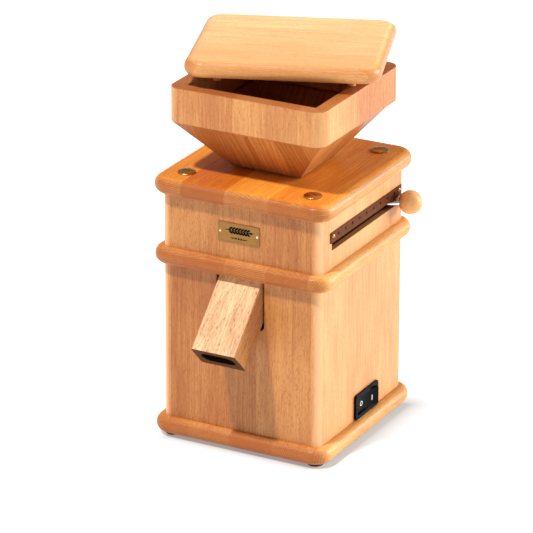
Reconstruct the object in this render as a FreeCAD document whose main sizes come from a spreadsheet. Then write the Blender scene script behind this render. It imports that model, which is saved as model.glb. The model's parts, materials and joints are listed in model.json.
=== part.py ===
import FreeCAD, Part
import math
import os
import types

import Sketcher

# Household grain mill: a staved beech casing in two storeys between three bullnosed
# plates, an induction motor hung under the middle plate, a pair of stones above it,
# a lift-off hopper with a loose lid, a wooden flour spout and a lever that sets the grind.
# +Z is up, the spout and the nameplate look along -Y, the lever and the switch are on +X.
# The mill axis (motor shaft, stones, hopper) is vertical, and the feet stand on z = 0.

Vector = FreeCAD.Vector
Rotation = FreeCAD.Rotation
Placement = FreeCAD.Placement

SIZES = [
    # alias, value in mm (or degrees), meaning
    ("axis_x", 9.7, "mill axis, from the middle of the whole mill's box"),
    ("axis_y", -7.3, "mill axis, from the middle of the whole mill's box"),
    ("half_width", 90.0, "casing, half of its width"),
    ("half_depth", 93.5, "casing, half of its depth"),
    ("wall", 10.0, "casing panels, thickness"),
    ("post", 18.0, "corner posts, side of the square"),
    ("casing_round", 9.0, "casing, radius of the standing edges"),
    ("overhang", 10.0, "plates, how far they stand out past the casing"),
    ("plate_thick", 18.0, "plates, thickness"),
    ("plate_round", 20.0, "plates, corner radius seen from above"),
    ("bullnose", 8.6, "plates, radius of the rounded edge"),
    ("foot_high", 3.0, "rubber feet, height"),
    ("foot_wide", 8.0, "rubber feet, radius"),
    ("foot_x", 82.0, "rubber feet, distance from the mill axis across"),
    ("foot_y", 86.0, "rubber feet, distance from the mill axis in depth"),
    ("foot_well", 4.2, "rubber feet, radius of the well for the screw head"),
    ("foot_web", 1.8, "rubber feet, height of the web over the well"),
    ("foot_bore", 1.9, "rubber feet, radius of the screw hole"),
    ("foot_taper", 0.6, "rubber feet, how much they narrow towards the base plate"),
    ("foot_screw_head", 3.7, "foot screws, radius of the head"),
    ("foot_screw_core", 1.7, "foot screws, radius of the shank"),
    ("foot_screw_top", 15.0, "foot screws, height of the tip above the floor"),
    ("foot_screw_low", 0.5, "foot screws, height of the head above the floor"),
    ("pilot_wide", 1.8, "pilot holes for the foot screws, radius"),
    ("pilot_deep", 12.5, "pilot holes for the foot screws, depth"),
    ("vent_wide", 1.9, "cooling vents in the base plate, radius"),
    ("vent_first", 12.0, "cooling vents, radius of the innermost ring of vents"),
    ("vent_pitch", 10.0, "cooling vents, from ring to ring"),
    ("screw_head", 9.25, "case screws, radius of the head"),
    ("screw_dome", 2.85, "case screws, height of the head"),
    ("screw_core", 2.95, "case screws, radius of the shank"),
    ("screw_short", 3.0, "case screws, how far they end above the inserts' lower ends"),
    ("screw_way", 3.3, "case screws, radius of their holes"),
    ("coin_long", 14.0, "case screws, length of the coin slot"),
    ("coin_wide", 2.0, "case screws, width of the coin slot"),
    ("coin_floor", 1.5, "case screws, height of the slot's floor"),
    ("insert_bore", 3.0, "threaded inserts, inner radius"),
    ("insert_out", 5.0, "threaded inserts, outer radius"),
    ("lower_high", 168.0, "lower storey, height of the panels"),
    ("upper_high", 57.0, "upper storey, height of the panels"),
    ("shaft_way", 16.0, "middle plate, radius of the opening for the shaft"),
    ("bolt_way", 2.1, "small bolts, radius of a clearance hole"),
    ("bolt_core", 2.0, "small bolts, radius of a tapped hole"),
    ("well_wide", 4.3, "wells for the motor bolts' heads, radius"),
    ("well_deep", 4.2, "wells for the motor bolts' heads, depth"),
    ("spout_wide", 50.0, "spout, width"),
    ("spout_deep", 33.0, "spout, depth across its slope"),
    ("spout_slope", 45.0, "spout, angle below the horizontal"),
    ("spout_tip_y", -139.7, "spout, middle of its mouth"),
    ("spout_tip_z", 117.1, "spout, middle of its mouth"),
    ("spout_edge", 2.6, "spout, radius of its long edges"),
    ("duct_wide", 38.0, "flour duct, width"),
    ("duct_deep", 18.0, "flour duct, depth"),
    ("spout_gap", 2.2, "clear space beside the spout in the front panel"),
    ("spout_slot_low", 135.3, "bottom of the spout's slot in the front panel"),
    ("spout_slot_round", 6.0, "spout's slot in the front panel, radius of its lower corners"),
    ("rim_half", 87.0, "hopper rim, half of its width"),
    ("rim_high", 37.0, "hopper rim, height"),
    ("rim_wall", 15.0, "hopper rim, thickness of the boards"),
    ("rim_round", 13.5, "hopper rim, radius of the standing edges"),
    ("rim_ease", 1.2, "hopper rim, radius of the level edges"),
    ("funnel_high", 53.6, "hopper funnel, height"),
    ("funnel_foot", 38.5, "hopper funnel, half width at the bottom"),
    ("funnel_top", 83.0, "hopper funnel, half width at the top"),
    ("funnel_wall", 15.0, "hopper funnel, level thickness of the boards"),
    ("gasket_thick", 1.6, "felt ring under the hopper"),
    ("neck_out", 18.0, "hopper neck, outer radius"),
    ("neck_bore", 14.5, "hopper neck, bore radius"),
    ("neck_low", 250.0, "hopper neck, height of its lower end"),
    ("neck_play", 0.3, "hopper neck, clearance in the top plate"),
    ("neck_plug", 8.0, "hopper neck, height of the plug inside the funnel"),
    ("gasket_play", 0.4, "felt ring, clearance round the neck"),
    ("gasket_out", 34.0, "felt ring, outer radius"),
    ("glue_gap", 0.05, "between the neck's plug and the funnel"),
    ("lid_half_x", 98.5, "lid, half of its length along the front"),
    ("lid_half_y", 102.0, "lid, half of its depth"),
    ("lid_twist", 21.2, "lid laid askew, turn about the vertical"),
    ("lid_tilt", -4.0, "lid laid askew, front edge up"),
    ("lid_shift_x", -12.9, "lid laid askew, middle from the mill axis"),
    ("lid_shift_y", 40.5, "lid laid askew, middle from the mill axis"),
    ("lid_lift", 5.0, "lid laid askew, middle of its underside above the rim"),
    ("peg_spot", 67.5, "lid pegs, from the lid's middle both ways"),
    ("peg_wide", 4.0, "lid pegs, radius"),
    ("peg_long", 9.0, "lid pegs, length under the lid"),
    ("peg_set", 8.0, "lid pegs, length inside the lid"),
    ("lever_high", 230.5, "lever rod, height of its axis"),
    ("lever_angle", 37.1, "lever at rest, degrees behind straight right"),
    ("lever_reach", 130.6, "mill axis to the middle of the ball knob"),
    ("rod_wide", 2.5, "lever rod, radius"),
    ("knob_wide", 12.5, "ball knob, radius"),
    ("knob_hold", 3.0, "ball knob, how far the rod goes past its middle"),
    ("slot_front", -69.9, "lever slot, front end"),
    ("slot_rear", 73.0, "lever slot, rear end"),
    ("slot_low", 226.2, "lever slot, bottom"),
    ("slot_high", 236.0, "lever slot, top"),
    ("strip_low", 234.8, "scale strip, bottom edge"),
    ("strip_high", 246.0, "scale strip, top edge"),
    ("strip_front", -73.4, "scale strip, front end"),
    ("strip_rear", 84.4, "scale strip, rear end"),
    ("sheet_thick", 1.0, "brass sheet of the strip and the nameplate"),
    ("strip_screw_way", 1.15, "scale screws, radius of their holes"),
    ("strip_screw_rise", 1.6, "scale screws, above the middle of the strip"),
    ("strip_screw_front", 4.4, "scale screws, from the strip's front end"),
    ("strip_screw_rear", 6.8, "scale screws, from the strip's rear end"),
    ("strip_screw_core", 1.1, "scale screws, radius of the shank"),
    ("strip_screw_head", 2.3, "scale screws, radius of the head"),
    ("strip_screw_dome", 1.8, "scale screws, height of the head"),
    ("strip_screw_long", 8.0, "scale screws, length of the shank"),
    ("mark_wide", 0.8, "scale marks, radius"),
    ("mark_first", 16.3, "scale marks, from the strip's front end to the first"),
    ("mark_pitch", 15.55, "scale marks, from mark to mark"),
    ("mark_drop", 4.7, "scale marks, below the strip's top edge"),
    ("name_pin_way", 0.65, "nameplate pins, radius of their holes"),
    ("name_pin_core", 0.6, "nameplate pins, radius of the shank"),
    ("name_pin_head", 1.3, "nameplate pins, radius of the head"),
    ("name_pin_dome", 0.8, "nameplate pins, height of the head"),
    ("name_pin_long", 7.0, "nameplate pins, length of the shank"),
    ("name_pin_inset", 2.6, "nameplate pins, from the ends of the plate"),
    ("plate_name_x", -1.3, "nameplate, middle"),
    ("plate_name_z", 235.8, "nameplate, middle"),
    ("plate_name_wide", 47.0, "nameplate, width"),
    ("plate_name_high", 20.4, "nameplate, height"),
    ("switch_y", 8.9, "switch, middle"),
    ("switch_z", 35.0, "switch, middle"),
    ("switch_wide", 50.5, "switch flange, width"),
    ("switch_high", 27.0, "switch flange, height"),
    ("switch_lip", 2.5, "switch flange, how far it covers the panel"),
    ("switch_lip_thick", 2.5, "switch flange, thickness and corner radius"),
    ("switch_deep", 24.0, "switch housing, depth behind the flange"),
    ("switch_play", 0.2, "switch housing, clearance in the panel"),
    ("switch_skin", 1.5, "switch housing, thickness of its sides"),
    ("switch_back", 3.0, "switch housing, thickness of its back"),
    ("rocker_tip", 19.3, "rocker, from its pin to either end"),
    ("rocker_out", 8.0, "rocker, from its pin to the outer edges"),
    ("rocker_waist", 5.6, "rocker, from its pin to the hollow between its halves"),
    ("rocker_pin", 4.0, "rocker pin, behind the face of the panel"),
    ("rocker_off", -8.0, "rocker at rest, turn about its pin"),
    ("gland_x", -45.0, "cable gland, from the mill axis"),
    ("gland_z", 45.0, "cable gland, height"),
    ("gland_bore", 3.5, "cable gland, radius of its bore"),
    ("gland_way", 8.2, "cable gland, radius of its hole in the panel"),
    ("gland_thread", 8.0, "cable gland, radius of its thread"),
    ("gland_flange", 11.0, "cable gland, radius of its flange"),
    ("gland_cap", 9.5, "cable gland, radius of its cap"),
    ("gland_long", 18.0, "cable gland, length outside the casing"),
    ("gland_tail", 16.0, "cable gland, length inside the casing"),
    ("locknut_high", 5.0, "cable gland, height of the locknut"),
    ("locknut_wide", 22.0, "cable gland, locknut across its flats"),
    ("stone_wide", 42.0, "mill stones, radius"),
    ("stone_thick", 14.0, "mill stones, thickness"),
    ("stone_gap", 1.2, "between the stones with the lever at rest"),
    ("stone_low", 213.6, "underside of the lower stone"),
    ("stone_eye", 14.0, "upper stone, radius of the eye"),
    ("lower_eye", 13.0, "lower stone, radius of the eye"),
    ("holder_play", 0.3, "upper stone holder, clearance round the stone"),
    ("holder_thick", 4.0, "upper stone holder, thickness above the stone"),
    ("holder_short", 0.2, "upper stone holder, how much its skirt stops short"),
    ("bridge_wide", 10.0, "upper stone holder, width of its two ears"),
    ("bridge_long", 112.0, "upper stone holder, length over both ears"),
    ("guide_hole", 2.06, "upper stone holder, radius of the guide pin holes"),
    ("feed_in", 16.0, "feed seal, inner radius"),
    ("feed_out", 22.0, "feed seal, outer radius"),
    ("feed_high", 2.8, "feed seal, height"),
    ("carrier_out", 40.0, "lower stone carrier, radius of the disc"),
    ("carrier_thick", 3.0, "lower stone carrier, thickness of the disc"),
    ("carrier_hub", 12.8, "lower stone carrier, radius of the hub"),
    ("carrier_high", 11.4, "lower stone carrier, height of the hub"),
    ("arm_middle", 45.6, "wiper arms, middle from the axis"),
    ("arm_long", 13.6, "wiper arms, length"),
    ("arm_wide", 6.0, "wiper arms, width"),
    ("wiper_middle", 48.4, "wipers, middle from the axis"),
    ("wiper_long", 8.0, "wipers, length"),
    ("wiper_high", 7.4, "wipers, height"),
    ("carrier_nut_wide", 16.0, "carrier nut, across its flats"),
    ("carrier_nut_high", 5.0, "carrier nut, height"),
    ("shaft_wide", 6.0, "motor shaft, radius"),
    ("chamber_in", 54.0, "grinding chamber, inner radius"),
    ("chamber_out", 58.0, "grinding chamber, outer radius"),
    ("chamber_high", 19.0, "grinding chamber, height"),
    ("chamber_floor", 3.0, "grinding chamber, floor thickness"),
    ("chamber_flange", 67.0, "grinding chamber, radius of the flange"),
    ("chamber_eye", 21.0, "grinding chamber, radius of the opening in its floor"),
    ("outlet_y", 45.8, "flour outlet in the chamber floor, middle in front of the axis"),
    ("outlet_deep", 11.4, "flour outlet, front to back"),
    ("seal_play", 0.4, "shaft seal, clearance round the shaft"),
    ("bolt_x", 31.0, "chamber bolts, from the axis across"),
    ("bolt_y", 53.7, "chamber bolts, from the axis in depth"),
    ("bolt_reach", 41.0, "chamber bolts, length below the retainer"),
    ("spacer_out", 4.0, "spacers round the chamber bolts, outer radius"),
    ("retainer_in", 48.0, "ring retainer, inner radius"),
    ("retainer_thick", 3.0, "ring retainer, thickness"),
    ("guide_y", 52.0, "guide pins of the upper stone, from the axis"),
    ("guide_wide", 1.98, "guide pins, radius"),
    ("guide_long", 16.0, "guide pins, length"),
    ("head_wide", 3.4, "chamber bolts, radius of the head"),
    ("head_high", 2.6, "chamber bolts, height of the head"),
    ("holder_out", 46.0, "upper stone holder, radius of its thread"),
    ("ring_out", 56.0, "adjusting ring, outer radius"),
    ("ring_high", 9.9, "adjusting ring, height"),
    ("run_fit", 0.05, "radial clearance of a running fit"),
    ("motor_out", 52.0, "motor, outer radius"),
    ("motor_low", 84.0, "motor can, bottom"),
    ("motor_high", 84.0, "motor can, height"),
    ("motor_skin", 2.0, "motor can, thickness"),
    ("motor_bolt", 33.0, "motor bolts, from the axis both ways"),
    ("motor_pillar", 5.0, "pillars round the motor bolts, radius"),
    ("motor_bolt_drop", 17.0, "motor bolts, length below the middle plate"),
    ("motor_bolt_rise", 14.1, "motor bolts, from the plate's underside to the head"),
    ("motor_bolt_head", 4.1, "motor bolts, radius of the head"),
    ("motor_bolt_high", 3.7, "motor bolts, height of the head"),
    ("shield_thick", 6.0, "motor end shields, thickness"),
    ("hub_out", 19.0, "motor end shields, radius of the hub"),
    ("hub_proud", 2.0, "motor end shields, how far the hub stands out both ways"),
    ("bearing_out", 14.0, "motor bearings, outer radius"),
    ("bearing_high", 8.0, "motor bearings, height"),
    ("bearing_drop", 1.0, "motor bearings, below the underside of the shield"),
    ("stator_in", 30.6, "stator core, inner radius"),
    ("stator_high", 56.0, "stator core, height"),
    ("stator_up", 14.0, "stator core, above the can's bottom"),
    ("coil_in", 33.0, "stator windings, inner radius"),
    ("coil_out", 48.0, "stator windings, outer radius"),
    ("coil_high", 9.6, "stator windings, height of the overhang"),
    ("rotor_out", 30.0, "rotor core, radius"),
    ("rotor_high", 52.0, "rotor core, height"),
    ("rotor_up", 16.0, "rotor core, above the can's bottom"),
    ("shaft_low", 62.0, "motor shaft, lower end"),
    ("shaft_thread", 5.0, "motor shaft, radius of the threaded end"),
    ("shaft_tip", 5.4, "motor shaft, length of the threaded end"),
    ("fan_out", 44.0, "cooling fan, radius"),
    ("fan_high", 12.0, "cooling fan, height"),
    ("fan_hub", 12.0, "cooling fan, radius of the hub"),
    ("fan_disc", 1.5, "cooling fan, thickness of the disc"),
    ("blade_thick", 1.8, "cooling fan, thickness of a blade"),
    ("blade_high", 11.0, "cooling fan, height of a blade"),
    ("capacitor_wide", 15.0, "run capacitor, radius"),
    ("capacitor_high", 60.0, "run capacitor, height"),
    ("capacitor_x", -60.0, "run capacitor, from the mill axis"),
    ("capacitor_y", 40.0, "run capacitor, from the mill axis"),
    ("lug_wide", 4.0, "run capacitor, radius of the terminal stub"),
    ("lug_high", 6.0, "run capacitor, height of the terminal stub"),
    ("clip_thick", 1.5, "capacitor clip, thickness of the band"),
    ("clip_wide", 14.0, "capacitor clip, height of the band and its height on the can"),
    ("clip_arm", 12.0, "capacitor clip, width of the arm"),
    ("block_x", -12.0, "terminal block, from the mill axis"),
    ("block_z", 52.0, "terminal block, height of its underside"),
    ("block_wide", 34.0, "terminal block, width"),
    ("block_deep", 14.0, "terminal block, depth"),
    ("block_high", 16.0, "terminal block, height"),
]

doc = FreeCAD.newDocument("GrainMill")
sheet = doc.addObject("Spreadsheet::Sheet", "Sheet")
sheet.Label = "Dimensions"


class Size:
    """A number together with the spreadsheet formula that gives it."""

    def __init__(self, number, formula):
        self.number = number
        self.formula = formula

    def __add__(self, other):
        other = as_size(other)
        return Size(self.number + other.number, f"({self.formula} + {other.formula})")

    def __radd__(self, other):
        return as_size(other) + self

    def __sub__(self, other):
        other = as_size(other)
        return Size(self.number - other.number, f"({self.formula} - {other.formula})")

    def __rsub__(self, other):
        return as_size(other) - self

    def __mul__(self, factor):
        factor = as_size(factor)
        return Size(self.number * factor.number, f"({self.formula} * {factor.formula})")

    def __rmul__(self, factor):
        return as_size(factor) * self

    def __truediv__(self, factor):
        factor = as_size(factor)
        return Size(self.number / factor.number, f"({self.formula} / {factor.formula})")

    def __neg__(self):
        return Size(-self.number, f"(-1 * {self.formula})")


def as_size(entry):
    return entry if isinstance(entry, Size) else Size(float(entry), repr(float(entry)))


def fill_sheet():
    """Write every driving dimension to the sheet and return them by name."""
    named = {}
    for row, (alias, number, meaning) in enumerate(SIZES, start=1):
        sheet.set(f"A{row}", meaning)
        sheet.set(f"B{row}", str(number))
        sheet.setAlias(f"B{row}", alias)
        named[alias] = Size(number, f"Sheet.{alias}")
    return types.SimpleNamespace(**named)


d = fill_sheet()
doc.recompute()

# Levels that follow from the driving dimensions
base_top = d.foot_high + d.plate_thick
mid_low = base_top + d.lower_high
mid_top = mid_low + d.plate_thick
top_low = mid_top + d.upper_high
top_top = top_low + d.plate_thick
funnel_low = top_top + d.gasket_thick
rim_low = funnel_low + d.funnel_high
rim_top = rim_low + d.rim_high
inner_x = d.half_width - d.wall
inner_y = d.half_depth - d.wall
post_x = inner_x - d.post / 2
post_y = inner_y - d.post / 2
stone_top = d.stone_low + d.stone_thick
upper_stone_low = stone_top + d.stone_gap
upper_stone_top = upper_stone_low + d.stone_thick
chamber_top = mid_top + d.chamber_high
lift_off = 2 * d.run_fit
ring_low = chamber_top + lift_off
ring_top = ring_low + d.ring_high
shield_low = d.motor_low + d.motor_high

# Cuts as long as these go right through one wall of the casing
through_width = 2 * d.half_width + 2
through_depth = 2 * d.half_depth + 2
parts = []


# ---------------------------------------------------------------- helpers

def bind(obj, path, size):
    obj.setExpression(path, as_size(size).formula)


def place(obj, x=0, y=0, z=0, rotation=None):
    """Put an object at x, y, z from the mill axis on the floor."""
    spot = (d.axis_x + x, d.axis_y + y, as_size(z))
    obj.Placement = Placement(Vector(*[size.number for size in spot]), rotation or Rotation())
    for name, size in zip("xyz", spot):
        bind(obj, f"Placement.Base.{name}", size)
    return obj


def sub_part(obj, name):
    """Name an object as one of the mill's pieces."""
    obj.Label = name
    parts.append(obj)
    return obj


def new_body(name):
    return doc.addObject("PartDesign::Body", name.title().replace("_", ""))


def new_sketch(body, plane):
    sketch = body.newObject("Sketcher::SketchObject", "Sketch")
    support = [item for item in body.Origin.OriginFeatures if item.Role == plane][0]
    sketch.AttachmentSupport = [(support, "")]
    sketch.MapMode = "FlatFace"
    return sketch


def lift(sketch, level):
    """Move a sketch along its own normal."""
    bind(sketch, "AttachmentOffset.Base.z", level)
    return sketch


def pin_point(sketch, index, end, u, v):
    """Hold a sketch point at u, v from the sketch's origin."""
    for kind, axis, size in (("DistanceX", -2, as_size(u)), ("DistanceY", -1, as_size(v))):
        if size.number == 0:
            sketch.addConstraint(Sketcher.Constraint("PointOnObject", index, end, axis))
        else:
            number = sketch.addConstraint(Sketcher.Constraint(kind, -1, 1, index, end, size.number))
            bind(sketch, f"Constraints[{number}]", size)


def polygon(body, plane, points):
    """A closed outline of straight edges through the given (u, v) sizes."""
    sketch = new_sketch(body, plane)
    spots = [Vector(as_size(u).number, as_size(v).number, 0) for u, v in points]
    for index, spot in enumerate(spots):
        following = spots[(index + 1) % len(spots)]
        sketch.addGeometry(Part.LineSegment(spot, following), False)
    for index, (u, v) in enumerate(points):
        following = (index + 1) % len(points)
        sketch.addConstraint(Sketcher.Constraint("Coincident", index, 2, following, 1))
        pin_point(sketch, index, 1, u, v)
    return sketch


def rectangle(body, plane, u, v, width, height):
    """A rectangle centred on u, v."""
    half_u, half_v = as_size(width) / 2, as_size(height) / 2
    left, right = u - half_u, u + half_u
    low, high = v - half_v, v + half_v
    return polygon(body, plane, [(left, low), (right, low), (right, high), (left, high)])


def circles(body, plane, radius, centres):
    """Equal circles about the given (u, v) centres."""
    sketch = new_sketch(body, plane)
    for index, (u, v) in enumerate(centres):
        centre = Vector(as_size(u).number, as_size(v).number, 0)
        sketch.addGeometry(Part.Circle(centre, Vector(0, 0, 1), as_size(radius).number), False)
        pin_point(sketch, index, 3, u, v)
        number = sketch.addConstraint(Sketcher.Constraint("Radius", index, as_size(radius).number))
        bind(sketch, f"Constraints[{number}]", radius)
    return sketch


def slot_outline(body, plane, width, height):
    """A stadium centred on the sketch's origin, its long side along u."""
    sketch = new_sketch(body, plane)
    half = as_size(height) / 2
    reach = (as_size(width) - height) / 2
    up, flat = half.number, reach.number
    sketch.addGeometry(Part.LineSegment(Vector(-flat, up, 0), Vector(flat, up, 0)), False)
    sketch.addGeometry(Part.LineSegment(Vector(flat, -up, 0), Vector(-flat, -up, 0)), False)
    for centre, start in ((flat, -math.pi / 2), (-flat, math.pi / 2)):
        circle = Part.Circle(Vector(centre, 0, 0), Vector(0, 0, 1), up)
        sketch.addGeometry(Part.ArcOfCircle(circle, start, start + math.pi), False)
    for first, end, second, other in ((0, 2, 2, 2), (1, 1, 2, 1), (1, 2, 3, 2), (0, 1, 3, 1)):
        sketch.addConstraint(Sketcher.Constraint("Coincident", first, end, second, other))
    for line, end, u, v in ((0, 1, -reach, half), (0, 2, reach, half),
                            (1, 1, reach, -half), (1, 2, -reach, -half)):
        pin_point(sketch, line, end, u, v)
    for arc, u in ((2, reach), (3, -reach)):
        number = sketch.addConstraint(Sketcher.Constraint("DistanceX", -1, 1, arc, 3, u.number))
        bind(sketch, f"Constraints[{number}]", u)
    return sketch


def pad(body, sketch, length, symmetric=False):
    feature = body.newObject("PartDesign::Pad", "Pad")
    feature.Profile = (sketch, [""])
    feature.SideType = "Symmetric" if symmetric else "One side"
    bind(feature, "Length", length)
    doc.recompute()
    return feature


def cut(body, sketch, depth, symmetric=False, upward=True):
    """Pocket a sketch into the body and make sure that it removed something."""
    before = body.Shape.Volume
    feature = body.newObject("PartDesign::Pocket", "Pocket")
    feature.Profile = (sketch, [""])
    feature.SideType = "Symmetric" if symmetric else "One side"
    feature.Reversed = upward
    bind(feature, "Length", depth)
    doc.recompute()
    assert body.Shape.Volume < before - 0.1, f"{body.Label}: a pocket removed nothing"
    return feature


def revolve(body, outline):
    """Turn an outline in the XZ plane once about the body's own Z axis."""
    sketch = polygon(body, "XZ_Plane", outline)
    feature = body.newObject("PartDesign::Revolution", "Revolution")
    feature.Profile = (sketch, [""])
    feature.ReferenceAxis = (sketch, ["V_Axis"])
    feature.Angle = 360.0
    doc.recompute()
    return feature


def turned(name, outline, x=0, y=0, z=0, rotation=None):
    """A turned piece: its outline is given as (radius, height)."""
    body = new_body(name)
    revolve(body, outline)
    return place(body, x, y, z, rotation)


def round_edges(body, radius, wanted):
    """Fillet every edge of the body that the test picks out."""
    tip = body.Tip
    names = [f"Edge{i}" for i, edge in enumerate(tip.Shape.Edges, start=1) if wanted(edge)]
    assert names, f"{body.Label}: no edge to round"
    feature = body.newObject("PartDesign::Fillet", "Fillet")
    feature.Base = (tip, names)
    bind(feature, "Radius", radius)
    doc.recompute()
    return feature


def along(edge, direction):
    """True for a straight edge that runs along a direction."""
    if not isinstance(edge.Curve, Part.Line):
        return False
    return abs(abs(edge.Curve.Direction.dot(direction)) - 1) < 1e-6


def bar(name, x, y, z, length, width, height, rotation=None):
    """A plain box piece centred on x, y and standing on z."""
    box = doc.addObject("Part::Box", name.title().replace("_", ""))
    for path, size in (("Length", length), ("Width", width), ("Height", height)):
        bind(box, path, size)
    return place(box, x - as_size(length) / 2, y - as_size(width) / 2, z, rotation)


def mirrored(source, normal):
    """The source's mirror image across the mill axis."""
    image = doc.addObject("Part::Mirroring", source.Name + "Mirror")
    image.Source = source
    image.Normal = normal
    bind(image, "Base.x", d.axis_x)
    bind(image, "Base.y", d.axis_y)
    return image


def group(name, members):
    """Equal loose pieces that share one node."""
    compound = doc.addObject("Part::Compound", name.title().replace("_", ""))
    compound.Links = members
    return sub_part(compound, name)


def four_corners(name, source):
    """The source and its mirror images in the three other quarters."""
    across = mirrored(source, Vector(1, 0, 0))
    behind = mirrored(source, Vector(0, 1, 0))
    opposite = mirrored(across, Vector(0, 1, 0))
    return group(name, [source, across, behind, opposite])


UP = Vector(0, 0, 1)
EAST = Vector(1, 0, 0)
NORTH = Vector(0, 1, 0)


def cosine(angle):
    return Size(math.cos(math.radians(angle.number)), f"cos({angle.formula} * 1deg)")


def sine(angle):
    return Size(math.sin(math.radians(angle.number)), f"sin({angle.formula} * 1deg)")


def cut_box(body, x, y, z, length, width, height):
    """Take a box out of a body; x and y are its middle, z its underside."""
    before = body.Shape.Volume
    box = body.newObject("PartDesign::SubtractiveBox", "Notch")
    for path, size in (("Length", length), ("Width", width), ("Height", height)):
        bind(box, path, size)
    corner = (x - as_size(length) / 2, y - as_size(width) / 2, as_size(z))
    for name, size in zip("xyz", corner):
        bind(box, f"Placement.Base.{name}", size)
    doc.recompute()
    assert body.Shape.Volume < before - 0.1, f"{body.Label}: a notch removed nothing"


def polar(body, features, count):
    """Repeat features around the body's own Z axis."""
    axis = [item for item in body.Origin.OriginFeatures if item.Role == "Z_Axis"][0]
    pattern = body.newObject("PartDesign::PolarPattern", "PolarPattern")
    pattern.Originals = features
    pattern.Axis = (axis, [""])
    pattern.Angle = 360.0
    pattern.Occurrences = count
    body.Tip = pattern
    doc.recompute()


def tube(name, inner, outer, height, x=0, y=0, z=0):
    """A plain ring or sleeve standing on z."""
    return turned(name, [(inner, 0), (outer, 0), (outer, height), (inner, height)], x, y, z)


def hex_nut(name, across, bore, height, x=0, y=0, z=0, rotation=None):
    """A hexagon nut with a plain bore."""
    blank = doc.addObject("Part::Prism", name.title().replace("_", "") + "Blank")
    blank.Polygon = 6
    bind(blank, "Circumradius", as_size(across) / math.sqrt(3))
    bind(blank, "Height", height)
    place(blank, x, y, z, rotation)
    hole = doc.addObject("Part::Cylinder", name.title().replace("_", "") + "Bore")
    bind(hole, "Radius", bore)
    bind(hole, "Height", height)
    place(hole, x, y, z, rotation)
    nut = doc.addObject("Part::Cut", name.title().replace("_", ""))
    nut.Base = blank
    nut.Tool = hole
    return nut


# ---------------------------------------------------------------- casing

QUARTERS = [(1, 1), (-1, 1), (-1, -1), (1, -1)]
VENT_RINGS = 3
FIRST_RING_VENTS = 6
SCALE_MARKS = 9


def corners(x, y):
    """The four points at plus and minus x and y."""
    return [(sx * x, sy * y) for sx, sy in QUARTERS]


def plate(name, half_x, half_y):
    """A board with rounded corners and a bullnose all round, standing on its own z = 0."""
    body = new_body(name)
    pad(body, rectangle(body, "XY_Plane", 0, 0, 2 * half_x, 2 * half_y), d.plate_thick)
    round_edges(body, d.plate_round, lambda edge: along(edge, UP))
    round_edges(body, d.bullnose, lambda edge: not along(edge, UP))
    return body


def base_plate():
    body = plate("base_plate", d.half_width + d.overhang, d.half_depth + d.overhang)
    vents = []
    for ring in range(VENT_RINGS):
        count = FIRST_RING_VENTS * (ring + 1)
        reach = d.vent_first + ring * d.vent_pitch
        for step in range(count):
            turn = 2 * math.pi * step / count
            vents.append((reach * math.cos(turn), reach * math.sin(turn)))
    cut(body, circles(body, "XY_Plane", d.vent_wide, vents), d.plate_thick)
    cut(body, circles(body, "XY_Plane", d.pilot_wide, corners(d.foot_x, d.foot_y)), d.pilot_deep)
    sub_part(place(body, z=d.foot_high), "base_plate")


def mid_plate():
    body = plate("mid_plate", d.half_width + d.overhang, d.half_depth + d.overhang)
    cut(body, circles(body, "XY_Plane", d.shaft_way, [(0, 0)]), d.plate_thick)
    cut(body, circles(body, "XY_Plane", d.insert_out, corners(post_x, post_y)), d.plate_thick)
    motor_bolts = corners(d.motor_bolt, d.motor_bolt)
    cut(body, circles(body, "XY_Plane", d.bolt_way, motor_bolts), d.plate_thick)
    wells = lift(circles(body, "XY_Plane", d.well_wide, motor_bolts), d.plate_thick - d.well_deep)
    cut(body, wells, d.well_deep)
    cut(body, circles(body, "XY_Plane", d.bolt_core, corners(d.bolt_x, d.bolt_y)), d.plate_thick)
    # The flour duct leans with the spout on its way down from the grinding chamber
    front = duct_middle(mid_low) - d.duct_deep / 2 / sine(d.spout_slope)
    back = duct_middle(mid_low) + d.duct_deep / 2 / sine(d.spout_slope)
    run = d.plate_thick * cosine(d.spout_slope) / sine(d.spout_slope)
    duct = polygon(body, "YZ_Plane", [(front, 0), (back, 0), (back + run, d.plate_thick),
                                      (front + run, d.plate_thick)])
    cut(body, duct, d.duct_wide, symmetric=True)
    sub_part(place(body, z=mid_low), "mid_plate")


def duct_middle(level):
    """Where the middle line of the sloping flour duct crosses a level."""
    return d.spout_tip_y + (level - d.spout_tip_z) * cosine(d.spout_slope) / sine(d.spout_slope)


def top_plate():
    body = plate("top_plate", d.half_width + d.overhang, d.half_depth + d.overhang)
    cut(body, circles(body, "XY_Plane", d.neck_out + d.neck_play, [(0, 0)]), d.plate_thick)
    cut(body, circles(body, "XY_Plane", d.screw_way, corners(post_x, post_y)), d.plate_thick)
    sub_part(place(body, z=top_low), "top_plate")


def side_panel(name, side, height, level):
    """A side panel over the whole depth, so that its edges show at the front and rear."""
    body = new_body(name)
    middle = side * (d.half_width - d.wall / 2)
    pad(body, rectangle(body, "XY_Plane", middle, 0, d.wall, 2 * d.half_depth), height)
    limit = d.half_width.number - 0.1
    round_edges(body, d.casing_round,
                lambda edge: along(edge, UP) and abs(edge.Vertexes[0].X) > limit)
    return sub_part(place(body, z=level), name)


def end_panel(name, side, height, level):
    """A front or rear panel set between the side panels."""
    body = new_body(name)
    middle = side * (d.half_depth - d.wall / 2)
    pad(body, rectangle(body, "XY_Plane", 0, middle, 2 * inner_x, d.wall), height)
    return sub_part(place(body, z=level), name)


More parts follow.
